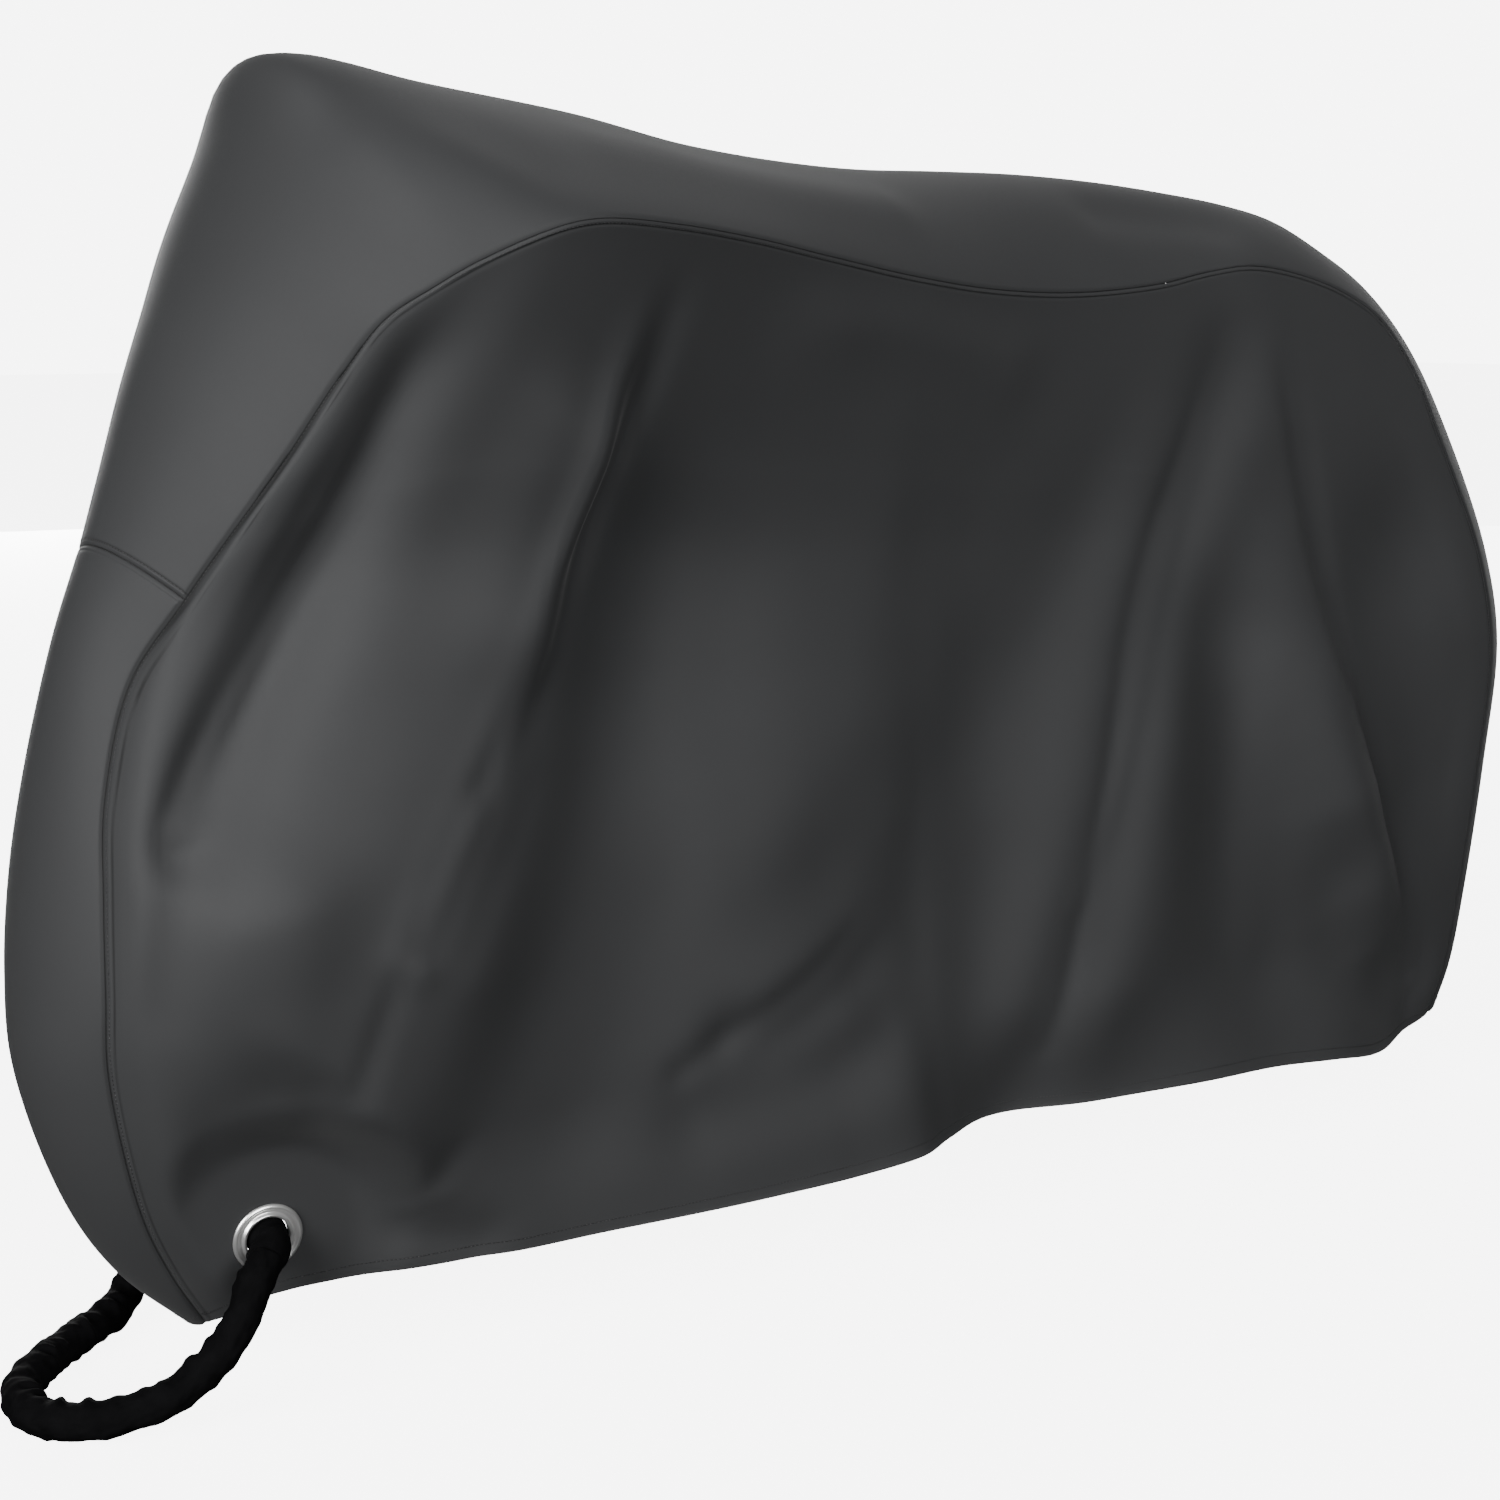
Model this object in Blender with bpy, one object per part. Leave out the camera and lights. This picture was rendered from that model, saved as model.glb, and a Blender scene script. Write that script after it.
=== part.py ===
"""A fitted outdoor cover as it hangs when in use, with the cloth sleeve of its lock.

Metres, +Z up. The origin is under the cloth of the top, where the cover is held up. +X runs to the
back, and the near side is -Y. Heights in the tables are measured from the floor, and the half
widths from the middle plane of the cover.
"""
import math
from collections import namedtuple

import bmesh
import bpy
import numpy as np
from mathutils import Vector

# Driving dimensions
CLOTH = 0.002             # thickness of the coated cloth with its hems and seams
GAP = 0.0003              # clearance between neighbouring pieces
REST_HEIGHT = 0.988       # from the floor to the underside of the top, at the origin
SEAM_CALM = 0.06          # the folds fade out this close to the long seams
EYELET_BORE = 0.0175      # radius of the eyelet's hole
EYELET_OUTER = 0.0285     # radius of the eyelet's rolled flange
EYELET_WALL = 0.0015      # thickness of its barrel
EYELET_ROLL = 0.0042      # how far the rolled flange stands off the cloth
EYELET_CUT = 0.024        # depth of the cutter that makes the hole in the cloth
EYELET_X = -1.043         # centre of the near eyelet, along the cover
EYELET_HEIGHT = 0.166
EYELET_HALF_WIDTH = 0.086
EYELET_TURN = 6.0         # degrees that the panel turns to the front there
EYELET_LEAN = 8.0         # degrees that it leans out with height
FLAT_RADIUS = 0.072       # the cloth is flat this far around an eyelet
FLAT_BLEND = 0.050        # and runs into the draped form over this width
FLAT_TO_SEAM = 0.030      # the flat fades out this close to the long seam
HEM_SHARE = 0.65          # below 1, the hem's half width is felt less far up the panel
HEM_CALM = 0.12           # the folds grow shallower this close to the hem
HEM_FOLD = 0.40           # share of a fold's rise that is left at the hem
FOLD_SWELL = 0.35         # share of a fold's length over which it rises from its top
EYELET_STEPS = 28         # divisions around an eyelet
EYELET_CLEAR = 0.0006     # from the eyelet's bore to the sleeve that lies in it
SLEEVE_RADIUS = 0.0155    # the gathered sleeve over the lock
SLEEVE_INNER = 0.028      # how far inside the near eyelet the sleeve's ends meet
SLEEVE_OUTER = 0.012      # how far it runs straight out of an eyelet
SLEEVE_CLOSE = 0.020      # the straight run to its closing end
SLEEVE_STEPS = 60         # divisions along the sleeve

CROWN_POWER = 1.8         # 1 gives the gusset a round section across, and 2 a shallower one
CURVE_STEPS = 12          # points to each span of a smooth line
PANEL_LONG = 42           # divisions of a side panel along its top and its hem
PANEL_HIGH = 24           # divisions of a side panel up its front and its back
GUSSET_WIDE = 10          # divisions across the gusset
GRADE = 1.15              # divisions are closer near the eyelets by this power

# The outline: a row for each section, from the front hem over the top to the back hem. The spine is
# the gusset's line on the middle plane, and the seam joins the gusset to the side panels.
Section = namedtuple("Section", "spine_x spine_height seam_x seam_height half_width")
OUTLINE = [
    Section(-1.076, 0.076, -1.071, 0.081, 0.026),
    Section(-1.130, 0.128, -1.107, 0.136, 0.045),
    Section(-1.168, 0.190, -1.136, 0.197, 0.060),
    Section(-1.203, 0.305, -1.164, 0.313, 0.078),
    Section(-1.204, 0.375, -1.167, 0.377, 0.086),
    Section(-1.196, 0.458, -1.164, 0.450, 0.082),
    Section(-1.180, 0.545, -1.155, 0.522, 0.070),
    Section(-1.155, 0.640, -1.129, 0.609, 0.066),
    Section(-1.129, 0.705, -1.094, 0.669, 0.088),
    Section(-1.109, 0.760, -1.066, 0.717, 0.110),
    Section(-1.085, 0.830, -1.029, 0.778, 0.137),
    Section(-1.060, 0.890, -1.000, 0.832, 0.162),
    Section(-1.037, 0.945, -0.976, 0.871, 0.185),
    Section(-1.009, 1.008, -0.944, 0.896, 0.207),
    Section(-0.990, 1.062, -0.915, 0.914, 0.221),
    Section(-0.960, 1.073, -0.874, 0.933, 0.235),
    Section(-0.870, 1.058, -0.828, 0.945, 0.240),
    Section(-0.730, 1.040, -0.748, 0.943, 0.230),
    Section(-0.620, 1.020, -0.656, 0.934, 0.208),
    Section(-0.520, 1.009, -0.571, 0.922, 0.188),
    Section(-0.410, 1.003, -0.456, 0.906, 0.165),
    Section(-0.310, 1.004, -0.349, 0.896, 0.145),
    Section(-0.210, 1.004, -0.239, 0.894, 0.130),
    Section(-0.100, 0.999, -0.129, 0.902, 0.120),
    Section(0.000, REST_HEIGHT + CLOTH, -0.058, 0.914, 0.115),
    Section(0.062, 0.982, -0.004, 0.920, 0.115),
    Section(0.120, 0.970, 0.058, 0.915, 0.110),
    Section(0.178, 0.945, 0.136, 0.898, 0.105),
    Section(0.235, 0.915, 0.204, 0.870, 0.100),
    Section(0.309, 0.858, 0.262, 0.817, 0.098),
    Section(0.388, 0.762, 0.306, 0.750, 0.098),
    Section(0.468, 0.622, 0.388, 0.615, 0.095),
    Section(0.498, 0.520, 0.418, 0.515, 0.092),
    Section(0.484, 0.385, 0.404, 0.385, 0.092),
    Section(0.465, 0.250, 0.386, 0.250, 0.088),
    Section(0.449, 0.163, 0.379, 0.163, 0.079),
    Section(0.433, 0.112, 0.366, 0.113, 0.070),
]
FRONT_CORNER = 11         # the section where the panel's front edge turns into its top edge
BACK_CORNER = 29          # the section where its top edge turns into its back edge
CROSS_SEAM = 8            # the section of the seam between the two gussets

# The hem of a side panel, a row for each place between its front and back corners.
HemPoint = namedtuple("HemPoint", "x height half_width")
HEM = [
    HemPoint(-1.060, 0.110, 0.070),
    HemPoint(-1.023, 0.116, 0.082),
    HemPoint(-0.983, 0.117, 0.090),
    HemPoint(-0.900, 0.120, 0.120),
    HemPoint(-0.828, 0.123, 0.140),
    HemPoint(-0.749, 0.128, 0.155),
    HemPoint(-0.602, 0.130, 0.165),
    HemPoint(-0.518, 0.132, 0.170),
    HemPoint(-0.443, 0.136, 0.170),
    HemPoint(-0.393, 0.136, 0.145),
    HemPoint(-0.329, 0.137, 0.120),
    HemPoint(-0.196, 0.134, 0.135),
    HemPoint(-0.010, 0.129, 0.155),
    HemPoint(0.141, 0.114, 0.140),
    HemPoint(0.255, 0.098, 0.110),
]

# Folds of a side panel: each follows a bend from its top over its middle to its foot. A rise stands
# out of the cover, and a negative one is a valley.
Fold = namedtuple("Fold", "top_x top_height mid_x mid_height foot_x foot_height reach rise")
NEAR_FOLDS = [
    Fold(-1.023, 0.322, -1.077, 0.247, -1.057, 0.216, 0.048, -0.021),
    Fold(-1.093, 0.529, -1.050, 0.382, -1.033, 0.238, 0.063, 0.028),
    Fold(-0.920, 0.464, -0.917, 0.298, -0.991, 0.179, 0.071, 0.014),
    Fold(-0.778, 0.832, -0.829, 0.752, -0.854, 0.648, 0.058, 0.018),
    Fold(-0.734, 0.689, -0.812, 0.436, -0.946, 0.155, 0.062, -0.016),
    Fold(-0.719, 0.873, -0.722, 0.464, -0.810, 0.166, 0.094, -0.016),
    Fold(-0.458, 0.463, -0.489, 0.253, -0.674, 0.203, 0.050, -0.015),
    Fold(-0.643, 0.851, -0.459, 0.880, -0.333, 0.830, 0.047, 0.005),
    Fold(-0.085, 0.872, -0.264, 0.588, -0.525, 0.397, 0.067, -0.009),
    Fold(0.020, 0.936, -0.143, 0.541, -0.289, 0.158, 0.045, -0.020),
    Fold(-0.003, 0.759, -0.080, 0.510, -0.197, 0.293, 0.051, -0.008),
    Fold(-0.025, 0.835, -0.078, 0.589, -0.260, 0.222, 0.095, 0.036),
    Fold(-0.008, 0.774, -0.015, 0.448, 0.053, 0.152, 0.095, -0.036),
    Fold(0.051, 0.750, 0.062, 0.537, 0.194, 0.316, 0.064, 0.016),
    Fold(0.110, 0.659, 0.150, 0.444, 0.208, 0.219, 0.054, 0.014),
    Fold(0.150, 0.397, 0.185, 0.227, 0.300, 0.125, 0.060, -0.029),
    Fold(0.341, 0.706, 0.230, 0.568, 0.255, 0.389, 0.095, -0.024),
    Fold(0.200, 0.658, 0.237, 0.423, 0.181, 0.292, 0.054, 0.006),
]
FAR_FOLDS = [
    Fold(-0.930, 0.850, -1.010, 0.640, -1.110, 0.440, 0.036, -0.018),
    Fold(-0.790, 0.870, -0.900, 0.620, -0.990, 0.330, 0.045, 0.020),
    Fold(-0.680, 0.820, -0.740, 0.560, -0.800, 0.270, 0.050, -0.026),
    Fold(-0.480, 0.800, -0.520, 0.520, -0.620, 0.280, 0.070, 0.022),
    Fold(-0.300, 0.780, -0.330, 0.500, -0.370, 0.260, 0.050, -0.018),
    Fold(-0.060, 0.860, -0.130, 0.580, -0.190, 0.270, 0.040, 0.020),
    Fold(0.060, 0.840, 0.110, 0.560, 0.130, 0.260, 0.045, -0.018),
    Fold(0.160, 0.700, 0.220, 0.470, 0.270, 0.250, 0.035, 0.014),
]

# Folds of the gusset, each along a line between two places given by x, y and height.
GussetFold = namedtuple("GussetFold", "start end reach rise")
GUSSET_FOLDS = [
    GussetFold((-0.955, -0.110, 1.030), (-0.850, -0.200, 0.975), 0.040, -0.012),
    GussetFold((-0.760, -0.165, 1.000), (-0.450, -0.120, 0.965), 0.035, 0.008),
    GussetFold((-0.945, 0.110, 1.030), (-0.800, 0.180, 0.980), 0.045, -0.010),
    GussetFold((-0.160, -0.075, 0.965), (-0.020, -0.085, 0.960), 0.035, -0.008),
]

# The lock's sleeve is a closed ring through both eyelets. These are its places between them, from the
# near side round the front to the far side.
SleevePoint = namedtuple("SleevePoint", "x y height")
SLEEVE_LOOP = [
    SleevePoint(-1.053, -0.108, 0.160),
    SleevePoint(-1.072, -0.124, 0.146),
    SleevePoint(-1.088, -0.131, 0.122),
    SleevePoint(-1.104, -0.130, 0.101),
    SleevePoint(-1.124, -0.123, 0.081),
    SleevePoint(-1.147, -0.112, 0.065),
    SleevePoint(-1.191, -0.090, 0.054),
    SleevePoint(-1.211, -0.070, 0.052),
    SleevePoint(-1.222, -0.043, 0.051),
    SleevePoint(-1.217, -0.005, 0.051),
    SleevePoint(-1.194, 0.030, 0.051),
    SleevePoint(-1.140, 0.078, 0.050),
    SleevePoint(-1.110, 0.100, 0.050),
    SleevePoint(-1.083, 0.120, 0.054),
    SleevePoint(-1.063, 0.136, 0.070),
    SleevePoint(-1.052, 0.139, 0.100),
    SleevePoint(-1.046, 0.130, 0.135),
    SleevePoint(-1.044, 0.116, 0.157),
]


def smooth_line(rows, steps=CURVE_STEPS):
    """Points on a centripetal Catmull-Rom curve through the rows, with steps to each span."""
    rows = np.array(rows, dtype=float)
    rows = np.vstack([2 * rows[0] - rows[1], rows, 2 * rows[-1] - rows[-2]])
    knots = np.cumsum([0.0] + [np.linalg.norm(b - a) ** 0.5 for a, b in zip(rows, rows[1:])])
    points = []
    for i in range(1, len(rows) - 2):
        a, b, c, d = rows[i - 1:i + 3]
        ta, tb, tc, td = knots[i - 1:i + 3]
        for t in np.linspace(tb, tc, steps, endpoint=False):
            ab = ((tb - t) * a + (t - ta) * b) / (tb - ta)
            bc = ((tc - t) * b + (t - tb) * c) / (tc - tb)
            cd = ((td - t) * c + (t - tc) * d) / (td - tc)
            abc = ((tc - t) * ab + (t - ta) * bc) / (tc - ta)
            bcd = ((td - t) * bc + (t - tb) * cd) / (td - tb)
            points.append(((tc - t) * abc + (t - tb) * bcd) / (tc - tb))
    points.append(rows[-2])
    return np.array(points)


def lengths_along(points):
    """The length from a line's first point to each of its points."""
    steps = np.linalg.norm(np.diff(points, axis=0), axis=1)
    return np.concatenate([[0.0], np.cumsum(steps)])


def at_shares(points, shares, columns):
    """The points at shares, from 0 to 1, of the length that the given columns measure."""
    lengths = lengths_along(points[:, columns])
    wanted = shares * lengths[-1]
    return np.stack([np.interp(wanted, lengths, column) for column in points.T], axis=1)


def smooth_step(value):
    """Rises softly from 0 to 1 as the value does."""
    value = np.clip(value, 0.0, 1.0)
    return value * value * (3.0 - 2.0 * value)


class Cut:
    """The cut's divisions, as shares of its edges, and its smooth sections at each of them."""

    def __init__(self):
        seam = [2, 3, 4]
        line = smooth_line(OUTLINE)
        front = line[:FRONT_CORNER * CURVE_STEPS + 1]
        top = line[FRONT_CORNER * CURVE_STEPS:BACK_CORNER * CURVE_STEPS + 1]
        back = line[BACK_CORNER * CURVE_STEPS:][::-1]
        lengths = lengths_along(front[:, seam])
        cross = lengths[CROSS_SEAM * CURVE_STEPS] / lengths[-1]
        self.long = np.linspace(0.0, 1.0, PANEL_LONG + 1) ** GRADE
        self.high = np.linspace(0.0, 1.0, PANEL_HIGH + 1) ** GRADE
        self.cross_row = int(np.argmin(np.abs(self.high - cross)))
        self.high[self.cross_row] = cross
        self.front = at_shares(front, self.high, seam)
        self.top = at_shares(top, self.long, seam)
        self.back = at_shares(back, self.high, seam)
        self.sections = np.vstack([self.front, self.top[1:], self.back[::-1][1:]])


def gusset_surface(sections):
    """Points [section, across] on the outside of the whole gusset, near side first, and normals."""
    angles = np.linspace(-math.pi / 2, math.pi / 2, GUSSET_WIDE + 1)
    grid = np.empty((len(sections), len(angles), 3))
    for i, row in enumerate(sections):
        spine_x, spine_height, seam_x, seam_height, half_width = row
        crown = np.cos(angles) ** CROWN_POWER
        grid[i, :, 0] = seam_x + (spine_x - seam_x) * crown
        grid[i, :, 1] = half_width * np.sin(angles)
        grid[i, :, 2] = seam_height + (spine_height - seam_height) * crown
    calm = np.cos(angles)[None, :, None]
    for fold in GUSSET_FOLDS:
        start, end = np.array(fold.start), np.array(fold.end)
        run = end - start
        part = np.clip((grid - start) @ run / (run @ run), 0.0, 1.0)
        away = np.linalg.norm(grid - start - part[:, :, None] * run, axis=2)
        out = fold.rise * np.exp(-(away / fold.reach) ** 2)
        grid = grid + calm * out[:, :, None] * grid_normals(grid)
    return grid, grid_normals(grid)


def fold_offset(x, height, folds):
    """How far the folds push the cloth out at each point."""
    out = np.zeros_like(x)
    for fold in folds:
        bend = smooth_line([fold[0:2], fold[2:4], fold[4:6]], CURVE_STEPS // 2)
        nearest = np.full(x.shape, np.inf)
        along = np.zeros_like(x)
        for i, (start, end) in enumerate(zip(bend, bend[1:])):
            run = end - start
            part = ((x - start[0]) * run[0] + (height - start[1]) * run[1]) / (run @ run)
            part = np.clip(part, 0.0, 1.0)
            away = np.hypot(x - start[0] - part * run[0], height - start[1] - part * run[1])
            closer = away < nearest
            nearest = np.where(closer, away, nearest)
            along = np.where(closer, (i + part) / (len(bend) - 1), along)
        swell = smooth_step(along / FOLD_SWELL)
        out += fold.rise * swell * np.exp(-(nearest / fold.reach) ** 2)
    return out


def seam_distance(x, height, seam):
    """Distance from each point to the seam's points, seen from the side."""
    nearest = np.full(x.shape, np.inf)
    for seam_x, seam_height in seam:
        nearest = np.minimum(nearest, np.hypot(x - seam_x, height - seam_height))
    return nearest


def eyelet_plane(x, height):
    """Half width of the flat in which an eyelet sits."""
    turn = math.tan(math.radians(EYELET_TURN))
    lean = math.tan(math.radians(EYELET_LEAN))
    return EYELET_HALF_WIDTH + (x - EYELET_X) * turn + (height - EYELET_HEIGHT) * lean


def eyelet_normal(side):
    """Unit vector out of the cloth at an eyelet; side is -1 for near and 1 for far."""
    turn = math.tan(math.radians(EYELET_TURN))
    lean = math.tan(math.radians(EYELET_LEAN))
    normal = np.array([-turn, side, -lean])
    return normal / np.linalg.norm(normal)


def panel_surface(cut, folds, side):
    """Grid of points [along, up] on the outside of a side panel, and its share of the eyelet's flat."""
    front, top, back = [edge[:, [2, 4, 3]] for edge in (cut.front, cut.top, cut.back)]
    hem = [(point.x, point.half_width, point.height) for point in HEM]
    hem = at_shares(smooth_line([front[0]] + hem + [back[0]]), cut.long, [0, 1, 2])
    u = cut.long[:, None, None]
    v = cut.high[None, :, None] ** np.array([1.0, HEM_SHARE, 1.0])
    grid = (1 - v) * hem[:, None] + v * top[:, None] + (1 - u) * front[None] + u * back[None]
    grid -= (1 - v) * ((1 - u) * hem[0] + u * hem[-1]) + v * ((1 - u) * top[0] + u * top[-1])
    x, height = grid[:, :, 0], grid[:, :, 2]
    distance = seam_distance(x, height, cut.sections[:, [2, 3]])
    to_hem = seam_distance(x, height, grid[:, 0][:, [0, 2]])
    calm = smooth_step(distance / SEAM_CALM) * (HEM_FOLD + (1 - HEM_FOLD) * smooth_step(to_hem / HEM_CALM))
    grid[:, :, 1] += calm * fold_offset(x, height, folds)
    away = np.hypot(x - EYELET_X, height - EYELET_HEIGHT)
    flat = smooth_step((FLAT_RADIUS + FLAT_BLEND - away) / FLAT_BLEND)
    flat *= smooth_step(distance / FLAT_TO_SEAM)
    grid[:, :, 1] += flat * (eyelet_plane(x, height) - grid[:, :, 1])
    grid[:, :, 1] *= side
    return grid, flat


def unit(vectors):
    """The vectors at length 1."""
    return vectors / np.linalg.norm(vectors, axis=-1, keepdims=True)


def grid_normals(grid):
    """Unit normals at a grid's points, by the right-hand rule from its first to its second index."""
    cross = np.cross(grid[1:, 1:] - grid[:-1, :-1], grid[:-1, 1:] - grid[1:, :-1])
    total = np.zeros_like(grid)
    total[:-1, :-1] += cross
    total[1:, :-1] += cross
    total[1:, 1:] += cross
    total[:-1, 1:] += cross
    return unit(total)


def seam_line(grid):
    """A panel grid's values up the front, along the top and down the back."""
    return np.concatenate([grid[0], grid[1:, -1], grid[-1, -2::-1]])


def set_seam_line(grid, line):
    """Writes values along the seam back to a panel's grid."""
    long, high = grid.shape[:2]
    grid[0] = line[:high]
    grid[1:, -1] = line[high:high + long - 1]
    grid[-1, -2::-1] = line[high + long - 1:]


def sheet_mesh(name, outside, normals):
    """A closed sheet of cloth: its outside follows the grid, and its thickness runs inwards."""
    inside = outside - normals * CLOTH
    rows, columns = outside.shape[:2]
    count = rows * columns
    points = np.concatenate([outside.reshape(-1, 3), inside.reshape(-1, 3)])
    points[:, 2] -= REST_HEIGHT
    faces = []
    for i in range(rows - 1):
        for j in range(columns - 1):
            a = i * columns + j
            b, c, d = a + columns, a + columns + 1, a + 1
            if np.linalg.norm(points[a] - points[c]) < np.linalg.norm(points[b] - points[d]):
                halves = [(a, b, c), (a, c, d)]
            else:
                halves = [(a, b, d), (b, c, d)]
            faces += halves
            faces += [tuple(count + k for k in reversed(half)) for half in halves]
    rim = [i * columns for i in range(rows)]
    rim += [(rows - 1) * columns + j for j in range(1, columns)]
    rim += [i * columns + columns - 1 for i in range(rows - 2, -1, -1)]
    rim += list(range(columns - 2, 0, -1))
    for a, b in zip(rim, rim[1:] + rim[:1]):
        faces.append((b, a, count + a, count + b))
    mesh = bpy.data.meshes.new(name)
    mesh.from_pydata([tuple(point) for point in points], [], faces)
    return mesh


def add_object(name, data, material):
    """Links an object with the mesh or curve and its material."""
    data.materials.append(material)
    item = bpy.data.objects.new(name, data)
    bpy.context.scene.collection.objects.link(item)
    return item


def make_material(name, colour, roughness, metallic):
    """A Principled material."""
    material = bpy.data.materials.new(name)
    material.use_nodes = True
    shader = material.node_tree.nodes["Principled BSDF"]
    shader.inputs["Base Color"].default_value = (*colour, 1.0)
    shader.inputs["Roughness"].default_value = roughness
    shader.inputs["Metallic"].default_value = metallic
    return material


def cloth_material(name):
    """Charcoal black coated cloth."""
    return make_material(name, (0.045, 0.046, 0.048), 0.55, 0.0)


def join_seam(panel, panel_normals, gusset, gusset_normals, edge, side):
    """Gives a panel and the gusset one rim direction along their seam, and parts them by the gap."""
    shared = unit(seam_line(panel_normals) + gusset_normals[:, edge])
    along = unit(np.gradient(gusset[:, edge], axis=0))
    inward = -side * unit(np.cross(along, shared))
    set_seam_line(panel_normals, shared)
    set_seam_line(panel, seam_line(panel) + inward * GAP / 2)
    gusset_normals[:, edge] = shared
    gusset[:, edge] -= inward * GAP / 2


def add_panel(name, cut, folds, side, gusset, gusset_normals):
    """A side panel with its eyelet hole; side is -1 for near and 1 for far."""
    panel, flat = panel_surface(cut, folds, side)
    normals = -side * grid_normals(panel)
    normals = unit(normals + flat[:, :, None] * (eyelet_normal(side) - normals))
    join_seam(panel, normals, gusset, gusset_normals, -1 if side > 0 else 0, side)
    if side > 0:
        panel, normals = panel[::-1], normals[::-1]
    item = add_object(name, sheet_mesh(name, panel, normals), cloth_material(name))
    hole = item.modifiers.new("eyelet_hole", "BOOLEAN")
    hole.operation = "DIFFERENCE"
    hole.object = add_cutter(name + "_cutter", side)


def add_gussets(cross, gusset, normals):
    """The front gusset below the row of the cross seam, and the top gusset beyond it."""
    onward = unit(np.cross(np.gradient(gusset[cross], axis=0), normals[cross]))
    front = gusset[:cross + 1].copy()
    front[-1] -= onward * GAP / 2
    add_object("front_gusset", sheet_mesh("front_gusset", front, normals[:cross + 1]),
               cloth_material("front_gusset"))
    top = gusset[cross:].copy()
    top[0] += onward * GAP / 2
    add_object("top_gusset", sheet_mesh("top_gusset", top, normals[cross:]),
               cloth_material("top_gusset"))


def eyelet_centre(side):
    """Centre of an eyelet on the cloth's outside."""
    return np.array([EYELET_X, side * EYELET_HALF_WIDTH, EYELET_HEIGHT - REST_HEIGHT])


def place_at_eyelet(item, side):
    """Sets an object's origin on the cloth there, with its own Z axis out of the cloth."""
    item.location = eyelet_centre(side)
    item.rotation_euler = Vector(eyelet_normal(side)).to_track_quat("Z", "Y").to_euler()


def add_cutter(name, side):
    """The round cutter of an eyelet's hole."""
    radius = (EYELET_BORE + EYELET_WALL + GAP) / math.cos(math.pi / EYELET_STEPS)
    shape = bmesh.new()
    bmesh.ops.create_cone(shape, cap_ends=True, segments=EYELET_STEPS, radius1=radius,
                          radius2=radius, depth=EYELET_CUT)
    mesh = bpy.data.meshes.new(name)
    shape.to_mesh(mesh)
    shape.free()
    cutter = add_object(name, mesh, cloth_material(name))
    place_at_eyelet(cutter, side)
    cutter.hide_render = True
    cutter.display_type = "WIRE"
    return cutter


def add_eyelet(name, side):
    """A rolled eyelet: its flange outside, its barrel through the cloth and its washer inside."""
    washer = -CLOTH - GAP
    profile = [
        (EYELET_BORE, washer - EYELET_WALL),
        (EYELET_OUTER - EYELET_WALL, washer - EYELET_WALL),
        (EYELET_OUTER - EYELET_WALL, washer),
        (EYELET_BORE + EYELET_WALL, washer),
        (EYELET_BORE + EYELET_WALL, GAP),
        (EYELET_OUTER - 0.5 * EYELET_WALL, GAP),
        (EYELET_OUTER, 0.2 * EYELET_ROLL),
        (EYELET_OUTER - EYELET_WALL, 0.75 * EYELET_ROLL),
        (0.5 * (EYELET_BORE + EYELET_OUTER), EYELET_ROLL),
        (EYELET_BORE + EYELET_WALL, 0.85 * EYELET_ROLL),
        (EYELET_BORE, 0.5 * EYELET_ROLL),
    ]
    points = []
    faces = []
    count = len(profile)
    for i in range(EYELET_STEPS):
        angle = 2 * math.pi * i / EYELET_STEPS
        points += [(r * math.cos(angle), r * math.sin(angle), z) for r, z in profile]
        onward = (i + 1) % EYELET_STEPS * count
        for j in range(count):
            k = (j + 1) % count
            faces.append((i * count + j, onward + j, onward + k, i * count + k))
    mesh = bpy.data.meshes.new(name)
    mesh.from_pydata(points, [], faces)
    mesh.shade_smooth()
    mesh.set_sharp_from_angle(angle=math.radians(40))
    item = add_object(name, mesh, make_material(name, (0.62, 0.62, 0.60), 0.25, 1.0))
    place_at_eyelet(item, side)


def sleeve_route():
    """Points on the sleeve's line, from inside the near eyelet round to the same place."""
    drop = EYELET_BORE - SLEEVE_RADIUS - EYELET_CLEAR

    def at_eyelet(side, offset):
        point = eyelet_centre(side) + offset * eyelet_normal(side)
        return (point[0], point[1], point[2] - drop)

    loop = [(place.x, place.y, place.height - REST_HEIGHT) for place in SLEEVE_LOOP]
    start = -SLEEVE_INNER
    route = [at_eyelet(-1, offset) for offset in (start, start / 2, 0.0, SLEEVE_OUTER)]
    route += loop
    route += [at_eyelet(1, offset) for offset in (SLEEVE_OUTER, 0.0, start / 2, start)]
    route += [at_eyelet(-1, start - SLEEVE_CLOSE), at_eyelet(-1, start - GAP)]
    return at_shares(smooth_line(route), np.linspace(0.0, 1.0, SLEEVE_STEPS + 1), [0, 1, 2])


def add_sleeve():
    """The lock's gathered sleeve, a ring whose two ends meet inside the near eyelet."""
    curve = bpy.data.curves.new("lock_sleeve", "CURVE")
    curve.dimensions = "3D"
    curve.bevel_depth = SLEEVE_RADIUS
    curve.bevel_resolution = 2
    curve.use_fill_caps = True
    route = sleeve_route()
    spline = curve.splines.new("POLY")
    spline.points.add(len(route) - 1)
    for point, place in zip(spline.points, route):
        point.co = (*place, 1.0)
    add_object("lock_sleeve", curve, make_material("lock_sleeve", (0.012, 0.012, 0.013), 0.9, 0.0))


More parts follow.
